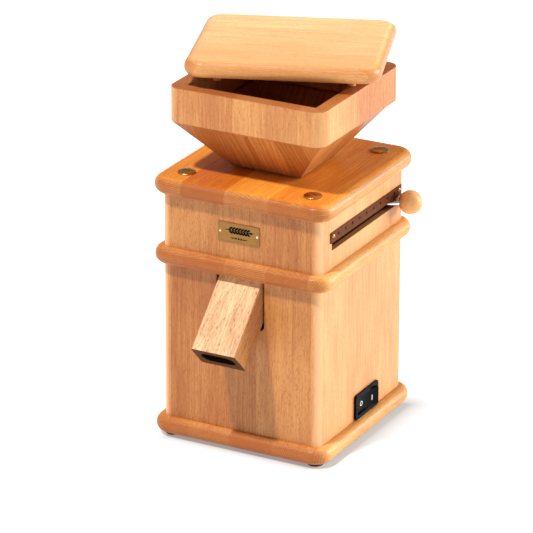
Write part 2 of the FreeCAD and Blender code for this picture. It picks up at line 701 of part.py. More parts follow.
def lower_storey():
    side_panel("lower_left_panel", -1, d.lower_high, base_top)
    right = side_panel("lower_right_panel", 1, d.lower_high, base_top)
    opening = rectangle(right, "YZ_Plane", d.switch_y, d.switch_z - base_top,
                        d.switch_wide - 2 * d.switch_lip, d.switch_high - 2 * d.switch_lip)
    cut(right, opening, through_width, symmetric=True)
    front = end_panel("lower_front_panel", -1, d.lower_high, base_top)
    slot_middle = (d.spout_slot_low + mid_low) / 2 - base_top
    slot = rectangle(front, "XZ_Plane", 0, slot_middle, d.spout_wide + 2 * d.spout_gap,
                     mid_low - d.spout_slot_low)
    cut(front, slot, through_depth, symmetric=True)
    foot_of_slot = (d.spout_slot_low - base_top).number
    round_edges(front, d.spout_slot_round, lambda edge: along(edge, NORTH)
                and abs(edge.Vertexes[0].Z - foot_of_slot) < 0.01)
    rear = end_panel("lower_rear_panel", 1, d.lower_high, base_top)
    hole = circles(rear, "XZ_Plane", d.gland_way, [(d.gland_x, d.gland_z - base_top)])
    cut(rear, hole, through_depth, symmetric=True)


def strip_screw_spots(level):
    """Where the two round-head screws of the scale strip go, as (y, z)."""
    height = (d.strip_low + d.strip_high) / 2 + d.strip_screw_rise - level
    return [(d.strip_front + d.strip_screw_front, height), (d.strip_rear - d.strip_screw_rear, height)]


def name_pin_spots(level):
    """Where the two pins of the nameplate go, as (x, z)."""
    reach = d.plate_name_wide / 2 - d.name_pin_inset
    height = d.plate_name_z - level
    return [(d.plate_name_x - reach, height), (d.plate_name_x + reach, height)]


def upper_storey():
    side_panel("upper_left_panel", -1, d.upper_high, mid_top)
    right = side_panel("upper_right_panel", 1, d.upper_high, mid_top)
    slot = rectangle(right, "YZ_Plane", (d.slot_front + d.slot_rear) / 2,
                     (d.slot_low + d.slot_high) / 2 - mid_top,
                     d.slot_rear - d.slot_front, d.slot_high - d.slot_low)
    cut(right, slot, through_width, symmetric=True)
    holes = circles(right, "YZ_Plane", d.strip_screw_way, strip_screw_spots(mid_top))
    cut(right, holes, through_width, symmetric=True)
    front = end_panel("upper_front_panel", -1, d.upper_high, mid_top)
    holes = circles(front, "XZ_Plane", d.name_pin_way, name_pin_spots(mid_top))
    cut(front, holes, through_depth, symmetric=True)
    end_panel("upper_rear_panel", 1, d.upper_high, mid_top)


def corner_posts():
    """Square posts glued into the corners; the upper ones are bored for the long screws."""
    lower = [bar("lower_post", x, y, base_top, d.post, d.post, d.lower_high)
             for x, y in corners(post_x, post_y)]
    upper = []
    for x, y in corners(post_x, post_y):
        body = new_body("upper_post")
        pad(body, rectangle(body, "XY_Plane", 0, 0, d.post, d.post), d.upper_high)
        cut(body, circles(body, "XY_Plane", d.screw_way, [(0, 0)]), d.upper_high)
        upper.append(place(body, x, y, mid_top))
    group("corner_posts", lower + upper)


def case_screws():
    """Domed brass screws with a coin slot that hold the top plate down."""
    shank = top_top - mid_low - d.screw_short
    head, dome = d.screw_head, d.screw_dome
    body = new_body("case_screw")
    revolve(body, [(0, -shank), (d.screw_core, -shank), (d.screw_core, 0), (head, 0),
                   (head, dome * 0.35), (head * 0.93, dome * 0.6), (head * 0.7, dome * 0.84),
                   (head * 0.37, dome * 0.96), (0, dome)])
    cut_box(body, 0, 0, d.coin_floor, d.coin_long, d.coin_wide, dome)
    four_corners("case_screws", place(body, post_x, post_y, top_top))


def threaded_inserts():
    insert = tube("insert", d.insert_bore, d.insert_out, d.plate_thick, post_x, post_y, mid_low)
    four_corners("threaded_inserts", insert)


def feet():
    foot = turned("foot", [(d.foot_well, 0), (d.foot_wide, 0), (d.foot_wide - d.foot_taper, d.foot_high),
                           (d.foot_bore, d.foot_high), (d.foot_bore, d.foot_web),
                           (d.foot_well, d.foot_web)], d.foot_x, d.foot_y)
    four_corners("feet", foot)
    screw = turned("foot_screw", [(0, d.foot_screw_low), (d.foot_screw_head, d.foot_screw_low),
                                  (d.foot_screw_head, d.foot_web), (d.foot_screw_core, d.foot_web),
                                  (d.foot_screw_core, d.foot_screw_top), (0, d.foot_screw_top)],
                   d.foot_x, d.foot_y)
    four_corners("foot_screws", screw)


# ---------------------------------------------------------------- front and side fittings

def spout():
    """A beech block on the slope, bored for the flour and cut level under the middle plate."""
    body = new_body("spout")
    half = d.spout_deep / 2
    climb = (mid_low - d.spout_tip_z) / sine(d.spout_slope)
    lean = half * cosine(d.spout_slope) / sine(d.spout_slope)
    side = polygon(body, "YZ_Plane", [(-half, 0), (half, 0), (half, climb + lean),
                                      (-half, climb - lean)])
    pad(body, side, d.spout_wide, symmetric=True)
    cut(body, slot_outline(body, "XY_Plane", d.duct_wide, d.duct_deep), climb + half)
    half_wide = d.spout_wide.number / 2
    round_edges(body, d.spout_edge, lambda edge: along(edge, UP)
                and abs(abs(edge.Vertexes[0].X) - half_wide) < 0.01)
    lying = Rotation(EAST, d.spout_slope.number - 90)
    sub_part(place(body, 0, d.spout_tip_y, d.spout_tip_z, lying), "spout")


def nameplate():
    body = new_body("nameplate")
    face = rectangle(body, "XZ_Plane", d.plate_name_x, d.plate_name_z, d.plate_name_wide,
                     d.plate_name_high)
    pad(body, face, d.sheet_thick)
    holes = circles(body, "XZ_Plane", d.name_pin_way, name_pin_spots(0))
    cut(body, holes, 3 * d.sheet_thick, symmetric=True)
    sub_part(place(body, 0, -d.half_depth), "nameplate")
    outline = [(0, -d.name_pin_long), (d.name_pin_core, -d.name_pin_long), (d.name_pin_core, 0),
               (d.name_pin_head, 0), (d.name_pin_head * 0.7, d.name_pin_dome * 0.75),
               (0, d.name_pin_dome)]
    pins = [turned("name_pin", outline, x, -d.half_depth - d.sheet_thick, z, Rotation(EAST, 90))
            for x, z in name_pin_spots(0)]
    group("nameplate_pins", pins)


def scale_strip():
    body = new_body("scale_strip")
    face = rectangle(body, "YZ_Plane", (d.strip_front + d.strip_rear) / 2,
                     (d.strip_low + d.strip_high) / 2, d.strip_rear - d.strip_front,
                     d.strip_high - d.strip_low)
    pad(body, face, d.sheet_thick)
    holes = circles(body, "YZ_Plane", d.strip_screw_way, strip_screw_spots(0))
    cut(body, holes, 3 * d.sheet_thick, symmetric=True)
    marks = [(d.strip_front + d.mark_first + d.mark_pitch * step, d.strip_high - d.mark_drop)
             for step in range(SCALE_MARKS)]
    cut(body, circles(body, "YZ_Plane", d.mark_wide, marks), 3 * d.sheet_thick, symmetric=True)
    sub_part(place(body, d.half_width), "scale_strip")
    core, head, dome = d.strip_screw_core, d.strip_screw_head, d.strip_screw_dome
    outline = [(0, -d.strip_screw_long), (core, -d.strip_screw_long), (core, 0), (head, 0),
               (head * 0.91, dome * 0.5), (head * 0.56, dome * 0.89), (0, dome)]
    screws = [turned("scale_screw", outline, d.half_width + d.sheet_thick, y, z, Rotation(NORTH, 90))
              for y, z in strip_screw_spots(0)]
    group("scale_screws", screws)


def power_switch():
    """A rocker switch snapped into the right panel, its rocker turning about a standing pin."""
    housing = new_body("switch_housing")
    pad(housing, rectangle(housing, "YZ_Plane", 0, 0, d.switch_wide, d.switch_high), d.switch_lip_thick)
    round_edges(housing, d.switch_lip_thick, lambda edge: along(edge, EAST))
    shell_wide = d.switch_wide - 2 * (d.switch_lip + d.switch_play)
    shell_high = d.switch_high - 2 * (d.switch_lip + d.switch_play)
    shell = lift(rectangle(housing, "YZ_Plane", 0, 0, shell_wide, shell_high), -d.switch_deep)
    pad(housing, shell, d.switch_deep)
    well_wide = shell_wide - 2 * d.switch_skin
    well_high = shell_high - 2 * d.switch_skin
    floor = d.switch_back - d.switch_deep
    well = lift(rectangle(housing, "YZ_Plane", 0, 0, well_wide, well_high), floor)
    cut(housing, well, d.switch_deep)
    sub_part(place(housing, d.half_width, d.switch_y, d.switch_z), "switch_housing")
    rocker = new_body("switch_rocker")
    tip, out = d.rocker_tip, d.rocker_out
    side = polygon(rocker, "XY_Plane", [(out * -1.1, tip * -0.26), (out * 0.25, -tip), (out, -tip),
                                        (d.rocker_waist, 0), (out, tip), (out * 0.25, tip),
                                        (out * -1.1, tip * 0.26)])
    pad(rocker, side, well_high - 2 * d.switch_play, symmetric=True)
    off = Rotation(UP, d.rocker_off.number)
    sub_part(place(rocker, d.half_width - d.rocker_pin, d.switch_y, d.switch_z, off), "switch_rocker")


def cable_gland():
    lying = Rotation(EAST, -90)
    bore, thread, cap = d.gland_bore, d.gland_thread, d.gland_cap
    long = d.gland_long
    gland = turned("cable_gland", [(bore, -d.gland_tail), (thread, -d.gland_tail), (thread, 0),
                                   (d.gland_flange, 0), (d.gland_flange, long * 0.28),
                                   (cap, long * 0.28), (cap, long * 0.5), (cap * 0.88, long * 0.78),
                                   (cap * 0.67, long), (bore, long)],
                   d.gland_x, d.half_depth, d.gland_z, lying)
    sub_part(gland, "cable_gland")
    nut = hex_nut("gland_locknut", d.locknut_wide, thread, d.locknut_high, d.gland_x,
                  inner_y - d.locknut_high, d.gland_z, lying)
    sub_part(nut, "gland_locknut")


# ---------------------------------------------------------------- milling gear

def grinding_chamber():
    """A flanged bowl round the stones with an outlet over the flour duct."""
    body = new_body("grinding_chamber")
    floor, eye, flange = d.chamber_floor, d.chamber_eye, d.chamber_flange
    revolve(body, [(eye, 0), (flange, 0), (flange, floor), (d.chamber_out, floor),
                   (d.chamber_out, d.chamber_high), (d.chamber_in, d.chamber_high),
                   (d.chamber_in, floor), (eye, floor)])
    cut(body, rectangle(body, "XY_Plane", 0, -d.outlet_y, d.duct_wide, d.outlet_deep), floor)
    cut(body, circles(body, "XY_Plane", d.bolt_way, corners(d.bolt_x, d.bolt_y)), floor)
    sub_part(place(body, z=mid_top), "grinding_chamber")
    seal = tube("chamber_seal", d.shaft_wide + d.seal_play, eye - 0.02, floor, z=mid_top)
    sub_part(seal, "chamber_seal")


def ring_retainer():
    """The fixed ring that keeps the adjusting ring down, on four bolted spacers."""
    spacer_low = mid_top + d.chamber_floor
    level = ring_top + lift_off
    thick = d.retainer_thick
    four_corners("retainer_spacers",
                 tube("spacer", d.bolt_way, d.spacer_out, level - spacer_low, d.bolt_x, d.bolt_y,
                      spacer_low))
    body = new_body("ring_retainer")
    revolve(body, [(d.retainer_in, 0), (d.chamber_flange, 0), (d.chamber_flange, thick),
                   (d.retainer_in, thick)])
    cut(body, circles(body, "XY_Plane", d.bolt_way, corners(d.bolt_x, d.bolt_y)), thick)
    cut(body, circles(body, "XY_Plane", d.bolt_core, [(0, d.guide_y), (0, -d.guide_y)]), thick)
    sub_part(place(body, z=level), "ring_retainer")
    core = d.bolt_core - d.run_fit
    bolt = turned("retainer_bolt", [(0, -d.bolt_reach), (core, -d.bolt_reach), (core, thick),
                                    (d.head_wide, thick), (d.head_wide, thick + d.head_high),
                                    (0, thick + d.head_high)], d.bolt_x, d.bolt_y, level)
    four_corners("retainer_bolts", bolt)
    guide, long = d.guide_wide, d.guide_long
    outline = [(0, 0), (guide, 0), (guide, long * 0.96), (guide * 0.75, long), (0, long)]
    pins = [turned("guide_pin", outline, 0, y, level) for y in (d.guide_y, -d.guide_y)]
    group("guide_pins", pins)


def grind_adjuster():
    """The ring, rod and ball knob that turn together about the mill axis."""
    along_lever = Rotation(UP, d.lever_angle.number)
    ring = new_body("adjusting_ring")
    bore = d.holder_out + d.run_fit
    revolve(ring, [(bore, 0), (d.ring_out, 0), (d.ring_out, d.ring_high), (bore, d.ring_high)])
    cut(ring, circles(ring, "YZ_Plane", d.rod_wide, [(0, d.lever_high - ring_low)]),
        d.ring_out + 4)
    sub_part(place(ring, z=ring_low, rotation=along_lever), "adjusting_ring")
    rod_start = d.holder_out + 1.5
    along_rod = along_lever * Rotation(NORTH, 90)
    rod = doc.addObject("Part::Cylinder", "LeverRod")
    bind(rod, "Radius", d.rod_wide)
    bind(rod, "Height", d.lever_reach + d.knob_hold - rod_start)
    place(rod, rod_start * cosine(d.lever_angle), rod_start * sine(d.lever_angle), d.lever_high,
          along_rod)
    sub_part(rod, "lever_rod")
    ball = doc.addObject("Part::Sphere", "KnobBall")
    bind(ball, "Radius", d.knob_wide)
    place(ball, d.lever_reach * cosine(d.lever_angle), d.lever_reach * sine(d.lever_angle),
          d.lever_high)
    bore_start = d.lever_reach - d.knob_wide - 1
    hole = doc.addObject("Part::Cylinder", "KnobBore")
    bind(hole, "Radius", d.rod_wide)
    bind(hole, "Height", d.knob_wide + 1 + d.knob_hold)
    place(hole, bore_start * cosine(d.lever_angle), bore_start * sine(d.lever_angle),
          d.lever_high, along_rod)
    knob = doc.addObject("Part::Cut", "LeverKnob")
    knob.Base = ball
    knob.Tool = hole
    sub_part(knob, "lever_knob")


def upper_stone():
    """The stone that doesn't turn, in a holder that the adjusting ring screws up and down."""
    holder = new_body("upper_stone_holder")
    inside = d.stone_wide + d.holder_play
    skirt = d.holder_short - d.stone_thick
    thick = d.holder_thick
    revolve(holder, [(0, 0), (inside, 0), (inside, skirt), (d.holder_out, skirt),
                     (d.holder_out, thick), (0, thick)])
    pad(holder, rectangle(holder, "XY_Plane", 0, 0, d.bridge_wide, d.bridge_long), thick)
    cut(holder, circles(holder, "XY_Plane", d.stone_eye, [(0, 0)]), thick)
    cut(holder, circles(holder, "XY_Plane", d.guide_hole, [(0, d.guide_y), (0, -d.guide_y)]), thick)
    sub_part(place(holder, z=upper_stone_top), "upper_stone_holder")
    stone = tube("upper_stone", d.stone_eye, d.stone_wide, d.stone_thick, z=upper_stone_low)
    sub_part(stone, "upper_stone")
    seal = tube("feed_seal", d.feed_in, d.feed_out, d.feed_high, z=upper_stone_top + thick)
    sub_part(seal, "feed_seal")


def lower_stone():
    """The running stone on its carrier, which also sweeps the flour to the outlet."""
    carrier = new_body("lower_stone_carrier")
    thick, hub, high = d.carrier_thick, d.carrier_hub, d.carrier_high
    level = d.stone_low - thick
    revolve(carrier, [(d.shaft_wide, 0), (d.carrier_out, 0), (d.carrier_out, thick), (hub, thick),
                      (hub, high), (d.shaft_wide, high)])
    arm = pad(carrier, rectangle(carrier, "XY_Plane", d.arm_middle, 0, d.arm_long, d.arm_wide), thick)
    wiper = pad(carrier, rectangle(carrier, "XY_Plane", d.wiper_middle, 0, d.wiper_long, d.arm_wide),
                d.wiper_high)
    polar(carrier, [arm, wiper], 3)
    sub_part(place(carrier, z=level), "lower_stone_carrier")
    stone = tube("lower_stone", d.lower_eye, d.stone_wide, d.stone_thick, z=d.stone_low)
    sub_part(stone, "lower_stone")
    nut = hex_nut("carrier_nut", d.carrier_nut_wide, d.shaft_thread, d.carrier_nut_high, z=level + high)
    sub_part(nut, "carrier_nut")


# ---------------------------------------------------------------- motor

def motor():
    """An induction motor hung under the middle plate by four bolts."""
    inside = d.motor_out - d.motor_skin
    sub_part(tube("motor_can", inside, d.motor_out, d.motor_high, z=d.motor_low), "motor_can")
    seat = d.bearing_out + 0.02
    hub, proud, thick = d.hub_out, d.hub_proud, d.shield_thick
    profile = [(seat, -proud), (hub, -proud), (hub, 0), (d.motor_out, 0), (d.motor_out, thick),
               (hub, thick), (hub, thick + proud), (seat, thick + proud)]
    upper = new_body("upper_end_shield")
    revolve(upper, profile)
    spots = corners(d.motor_bolt, d.motor_bolt)
    pad(upper, circles(upper, "XY_Plane", d.motor_pillar, spots), mid_low - shield_low)
    cut(upper, circles(upper, "XY_Plane", d.bolt_core + d.run_fit, spots), mid_low - shield_low)
    sub_part(place(upper, z=shield_low), "upper_end_shield")
    lower = turned("lower_end_shield", profile, z=d.motor_low - thick)
    sub_part(lower, "lower_end_shield")
    drop, rise, head = d.motor_bolt_drop, d.motor_bolt_rise, d.motor_bolt_head
    bolt = turned("motor_bolt", [(0, -drop), (d.bolt_core, -drop), (d.bolt_core, rise), (head, rise),
                                 (head, rise + d.motor_bolt_high), (0, rise + d.motor_bolt_high)],
                  d.motor_bolt, d.motor_bolt, mid_low)
    four_corners("motor_bolts", bolt)
    bore = d.shaft_wide + d.run_fit / 2
    group("motor_bearings", [tube("bearing", bore, d.bearing_out, d.bearing_high,
                                  z=level - d.bearing_drop)
                             for level in (shield_low, d.motor_low - thick)])
    core_low = d.motor_low + d.stator_up
    core = tube("stator_core", d.stator_in, inside - 0.02, d.stator_high, z=core_low)
    sub_part(core, "stator_core")
    near, far, high = d.coil_in, d.coil_out, d.coil_high
    soft = high / 5
    coil = [(near + soft / 2, 0), (far - soft, 0), (far, soft), (far, high - soft),
            (far - soft, high), (near + soft, high), (near, high - soft), (near, soft)]
    coils = [turned("coil", coil, z=core_low + d.stator_high),
             turned("coil", coil, z=core_low, rotation=Rotation(EAST, 180))]
    group("stator_windings", coils)


def rotor():
    """What turns on the motor shaft below the stones."""
    shoulder = d.stone_low - d.carrier_thick + d.carrier_high - d.shaft_low
    shaft = turned("motor_shaft", [(0, 0), (d.shaft_wide, 0), (d.shaft_wide, shoulder),
                                   (d.shaft_thread, shoulder), (d.shaft_thread, shoulder + d.shaft_tip),
                                   (0, shoulder + d.shaft_tip)], z=d.shaft_low)
    sub_part(shaft, "motor_shaft")
    core = tube("rotor_core", d.shaft_wide, d.rotor_out, d.rotor_high, z=d.motor_low + d.rotor_up)
    sub_part(core, "rotor_core")
    fan = new_body("cooling_fan")
    disc = d.fan_high - d.fan_disc
    revolve(fan, [(d.shaft_wide, 0), (d.fan_hub, 0), (d.fan_hub, disc), (d.fan_out, disc),
                  (d.fan_out, d.fan_high), (d.shaft_wide, d.fan_high)])
    blade_long = d.fan_out - d.fan_hub + 1
    blade_middle = d.fan_hub - 1 + blade_long / 2
    blade = pad(fan, rectangle(fan, "XY_Plane", blade_middle, 0, blade_long, d.blade_thick), d.blade_high)
    polar(fan, [blade], 7)
    sub_part(place(fan, z=d.shaft_low), "cooling_fan")


def electrics():
    """The run capacitor in its clip on the left panel, and the terminal block at the rear."""
    wide, high = d.capacitor_wide, d.capacitor_high
    capacitor = turned("run_capacitor", [(0, 0), (wide, 0), (wide, high), (d.lug_wide, high),
                                         (d.lug_wide, high + d.lug_high), (0, high + d.lug_high)],
                       d.capacitor_x, d.capacitor_y, base_top)
    sub_part(capacitor, "run_capacitor")
    clip = new_body("capacitor_clip")
    outer = wide + d.clip_thick
    revolve(clip, [(wide, 0), (outer, 0), (outer, d.clip_wide), (wide, d.clip_wide)])
    bite = d.clip_thick / 3
    arm_long = inner_x + d.capacitor_x - outer + bite
    arm_middle = bite - outer - arm_long / 2
    pad(clip, rectangle(clip, "XY_Plane", arm_middle, 0, arm_long, d.clip_arm), d.clip_wide)
    sub_part(place(clip, d.capacitor_x, d.capacitor_y, base_top + d.clip_wide), "capacitor_clip")
    block = bar("terminal_block", d.block_x, inner_y - d.block_deep / 2, d.block_z, d.block_wide,
                d.block_deep, d.block_high)
    sub_part(block, "terminal_block")


# ---------------------------------------------------------------- hopper and lid

def mitred(name, whole, level):
    """Four equal boards: the whole ring parted along its diagonals."""
    boards = []
    reach = d.rim_half + 5
    below = 20
    for quarter in range(4):
        wedge = new_body("wedge")
        pad(wedge, polygon(wedge, "XY_Plane", [(0, 0), (-reach, -reach), (reach, -reach)]),
            2 * d.rim_half)
        place(wedge, z=level - below, rotation=Rotation(UP, 90 * quarter))
        board = doc.addObject("Part::Common", "Board")
        board.Base = whole
        board.Tool = wedge
        boards.append(board)
    return group(name, boards)


def square_loft(body, kind, low_half, high_half, height):
    """A straight-sided loft between two centred squares."""
    low = rectangle(body, "XY_Plane", 0, 0, 2 * low_half, 2 * low_half)
    high = lift(rectangle(body, "XY_Plane", 0, 0, 2 * high_half, 2 * high_half), height)
    loft = body.newObject(kind, "Loft")
    loft.Profile = (low, [""])
    loft.Sections = [(high, [""])]
    loft.Ruled = True
    doc.recompute()
    return loft


def hopper():
    rim = new_body("rim")
    pad(rim, rectangle(rim, "XY_Plane", 0, 0, 2 * d.rim_half, 2 * d.rim_half), d.rim_high)
    round_edges(rim, d.rim_round, lambda edge: along(edge, UP))
    mouth = 2 * (d.rim_half - d.rim_wall)
    cut(rim, rectangle(rim, "XY_Plane", 0, 0, mouth, mouth), d.rim_high)
    round_edges(rim, d.rim_ease, lambda edge: not along(edge, UP))
    mitred("hopper_rim_boards", place(rim, z=rim_low), rim_low)

    funnel = new_body("funnel")
    square_loft(funnel, "PartDesign::AdditiveLoft", d.funnel_foot, d.funnel_top, d.funnel_high)
    inner_foot = d.funnel_foot - d.funnel_wall
    inner_top = d.funnel_top - d.funnel_wall
    square_loft(funnel, "PartDesign::SubtractiveLoft", inner_foot, inner_top, d.funnel_high)
    mitred("hopper_funnel_boards", place(funnel, z=funnel_low), funnel_low)

    neck = new_body("hopper_neck")
    flare = (inner_top - inner_foot) * d.neck_plug / d.funnel_high
    plug_foot = inner_foot - d.glue_gap
    square_loft(neck, "PartDesign::AdditiveLoft", plug_foot, plug_foot + flare, d.neck_plug)
    drop = funnel_low - d.neck_low
    pad(neck, lift(circles(neck, "XY_Plane", d.neck_out, [(0, 0)]), -drop), drop + 1)
    cut(neck, lift(circles(neck, "XY_Plane", d.neck_bore, [(0, 0)]), -drop), drop + d.neck_plug)
    sub_part(place(neck, z=funnel_low), "hopper_neck")
    gasket = tube("hopper_gasket", d.neck_out + d.gasket_play, d.gasket_out, d.gasket_thick, z=top_top)
    sub_part(gasket, "hopper_gasket")


def lid():
    """A loose board with four pegs below, lying askew on the rim of the hopper."""
    tilt = Rotation(d.lid_twist.number, 0, d.lid_tilt.number)
    level = rim_top + d.lid_lift
    body = plate("lid_panel", d.lid_half_x, d.lid_half_y)
    cut(body, circles(body, "XY_Plane", d.peg_wide, corners(d.peg_spot, d.peg_spot)), d.peg_set)
    sub_part(place(body, d.lid_shift_x, d.lid_shift_y, level, tilt), "lid_panel")
    pegs = []
    for x, y in corners(d.peg_spot, d.peg_spot):
        peg = doc.addObject("Part::Cylinder", "Peg")
        bind(peg, "Radius", d.peg_wide)
        bind(peg, "Height", d.peg_long + d.peg_set)
        offset = tilt.multVec(Vector(x.number, y.number, -d.peg_long.number))
        pegs.append(place(peg, d.lid_shift_x + offset.x, d.lid_shift_y + offset.y,
                          level + offset.z, tilt))
    group("lid_pegs", pegs)


# ---------------------------------------------------------------- build and export

def check_and_export():
    """Stop on any failed object or bad shape, then write one STEP file for each piece."""
    doc.recompute()
    for obj in doc.Objects:
        assert "Invalid" not in obj.State and "Error" not in obj.State, f"{obj.Label}: {obj.State}"
    names = [obj.Label for obj in parts]
    assert len(set(names)) == len(names), "two pieces share a name"
    os.makedirs("parts", exist_ok=True)
    for obj in parts:
        shape = obj.Shape
        assert not shape.isNull() and shape.isValid() and shape.Solids, f"{obj.Label}: bad shape"
        shape.exportStep(f"parts/{obj.Label}.step")
    low = Vector(*(min(getattr(obj.Shape.BoundBox, side) for obj in parts)
                   for side in ("XMin", "YMin", "ZMin")))
    high = Vector(*(max(getattr(obj.Shape.BoundBox, side) for obj in parts)
                    for side in ("XMax", "YMax", "ZMax")))
    print(f"{len(parts)} pieces, box {low} to {high}, middle {(low + high) * 0.5}")


base_plate()
mid_plate()
top_plate()
lower_storey()
upper_storey()
corner_posts()
case_screws()
threaded_inserts()
feet()
spout()
nameplate()
scale_strip()
power_switch()
cable_gland()
grinding_chamber()
ring_retainer()
grind_adjuster()
upper_stone()
lower_stone()
motor()
rotor()
electrics()
hopper()
lid()
check_and_export()
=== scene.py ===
import json
import math

import bmesh
import bpy
from mathutils import Matrix, Vector


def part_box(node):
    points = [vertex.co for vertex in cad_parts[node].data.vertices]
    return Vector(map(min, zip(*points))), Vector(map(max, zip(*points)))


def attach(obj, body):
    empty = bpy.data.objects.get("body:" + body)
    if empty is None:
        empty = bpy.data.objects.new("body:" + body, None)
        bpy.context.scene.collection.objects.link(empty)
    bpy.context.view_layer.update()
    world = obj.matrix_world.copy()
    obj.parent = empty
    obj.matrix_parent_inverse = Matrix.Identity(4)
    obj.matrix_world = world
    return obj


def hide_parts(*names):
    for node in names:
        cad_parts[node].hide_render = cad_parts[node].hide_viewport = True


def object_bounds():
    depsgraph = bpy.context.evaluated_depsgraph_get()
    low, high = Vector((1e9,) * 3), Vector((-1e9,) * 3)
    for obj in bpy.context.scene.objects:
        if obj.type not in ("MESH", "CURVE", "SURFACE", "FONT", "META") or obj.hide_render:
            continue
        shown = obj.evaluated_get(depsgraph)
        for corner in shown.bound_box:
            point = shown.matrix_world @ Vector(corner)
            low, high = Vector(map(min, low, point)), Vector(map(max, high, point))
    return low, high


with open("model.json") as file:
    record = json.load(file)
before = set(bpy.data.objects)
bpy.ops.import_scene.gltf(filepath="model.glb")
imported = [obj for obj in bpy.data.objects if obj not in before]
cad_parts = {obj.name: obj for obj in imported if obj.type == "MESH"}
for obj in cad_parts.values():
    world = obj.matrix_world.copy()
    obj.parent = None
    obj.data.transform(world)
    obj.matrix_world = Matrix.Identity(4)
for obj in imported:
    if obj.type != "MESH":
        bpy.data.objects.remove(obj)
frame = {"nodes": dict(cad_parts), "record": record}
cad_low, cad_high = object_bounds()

# The looks of an electric beech grain mill. Lengths are metres in the frame of the CAD model:
# +Z up, the spout at the front on -Y, the lever, its scale and the switch on the right on +X.

MM = 0.001
UP, EAST, NORTH = Vector((0, 0, 1)), Vector((1, 0, 0)), Vector((0, 1, 0))

slots = {part["node"]: part["material_slot"] for part in frame["record"]["subparts"]}
joints = {joint["name"]: joint for joint in frame["record"]["behaviour"]["joints"]}


def middle(node):
    """The middle of a CAD node's box."""
    low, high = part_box(node)
    return (low + high) / 2


# The mill's upright axis runs through the lever's hinge
axis = Vector((*joints["lever_swing"]["pos_m"][:2], 0))


# ---------------------------------------------------------------- materials

def srgb(red, green, blue):
    """A screen colour, 0 to 255 each, as the linear colour that shaders take."""
    def linear(value):
        value /= 255
        return value / 12.92 if value <= 0.04045 else ((value + 0.055) / 1.055) ** 2.4
    return (linear(red), linear(green), linear(blue), 1)


def shade(colour, red, green=None, blue=None):
    """A colour with each part scaled, by one share or by three."""
    shares = (red, red, red) if green is None else (red, green, blue)
    return (*(part * share for part, share in zip(colour, shares)), 1)


class Shader:
    """A node material being made. Its helpers return the new node's output socket."""

    def __init__(self, name):
        self.material = bpy.data.materials.new(name)
        self.material.use_nodes = True
        self.nodes = self.material.node_tree.nodes
        self.links = self.material.node_tree.links
        self.surface = self.nodes["Principled BSDF"]

    def feed(self, socket, value):
        if isinstance(value, bpy.types.NodeSocket):
            self.links.new(value, socket)
        elif value is not None:
            socket.default_value = value

    def node(self, kind, *values, **settings):
        node = self.nodes.new("ShaderNode" + kind)
        for name, setting in settings.items():
            setattr(node, name, setting)
        for socket, value in zip(node.inputs, values):
            self.feed(socket, value)
        return node

    def place(self):
        """The place on the part in the row frame, from its resting position."""
        return self.node("TexCoord").outputs["Object"]

    def math(self, operation, first, second=None, third=None, clamp=False):
        node = self.node("Math", first, second, third, operation=operation, use_clamp=clamp)
        return node.outputs[0]

    def vector(self, operation, first, second=None):
        node = self.node("VectorMath", first, second, operation=operation)
        return node.outputs["Value" if operation in ("DOT_PRODUCT", "LENGTH") else "Vector"]

    def along(self, place, direction, unit=MM):
        """How far along a direction the place is, counted in a unit."""
        return self.vector("DOT_PRODUCT", place, tuple(Vector(direction).normalized() / unit))

    def combine(self, first, second, third):
        return self.node("CombineXYZ", first, second, third).outputs[0]

    def noise(self, vector, scale=1.0, detail=2.0, roughness=0.5):
        node = self.node("TexNoise")
        self.feed(node.inputs["Vector"], vector)
        node.inputs["Scale"].default_value = scale
        node.inputs["Detail"].default_value = detail
        node.inputs["Roughness"].default_value = roughness
        return node.outputs["Fac"]

    def cells(self, vector, scale, output="Distance", feature="F1"):
        node = self.node("TexVoronoi", feature=feature)
        self.feed(node.inputs["Vector"], vector)
        node.inputs["Scale"].default_value = scale
        return node.outputs[output]

    def total(self, *values):
        result = values[0]
        for value in values[1:]:
            result = self.math("ADD", result, value)
        return result

    def choose(self, switch, first, second):
        """first where the switch is 0 and second where it is 1."""
        change = self.math("SUBTRACT", second, first)
        return self.total(first, self.math("MULTIPLY", change, switch))

    def spread(self, value, low, high, start=0.0, end=1.0):
        """Maps low..high of a value to start..end, clamped."""
        node = self.node("MapRange", value, low, high, start, end)
        return node.outputs["Result"]

    def blend(self, factor, first, second, mode="MIX"):
        node = self.node("Mix", data_type="RGBA", blend_type=mode)
        for name, value in (("Factor_Float", factor), ("A_Color", first), ("B_Color", second)):
            self.feed(next(s for s in node.inputs if s.identifier == name), value)
        return next(s for s in node.outputs if s.identifier == "Result_Color")

    def bump(self, height, strength, distance):
        node = self.node("Bump")
        node.inputs["Strength"].default_value = strength
        node.inputs["Distance"].default_value = distance
        self.feed(node.inputs["Height"], height)
        self.feed(self.surface.inputs["Normal"], node.outputs["Normal"])

    def finish(self, colour, roughness, **constants):
        self.feed(self.surface.inputs["Base Color"], colour)
        self.feed(self.surface.inputs["Roughness"], roughness)
        for name, value in constants.items():
            self.surface.inputs[name.replace("_", " ")].default_value = value
        return self.material


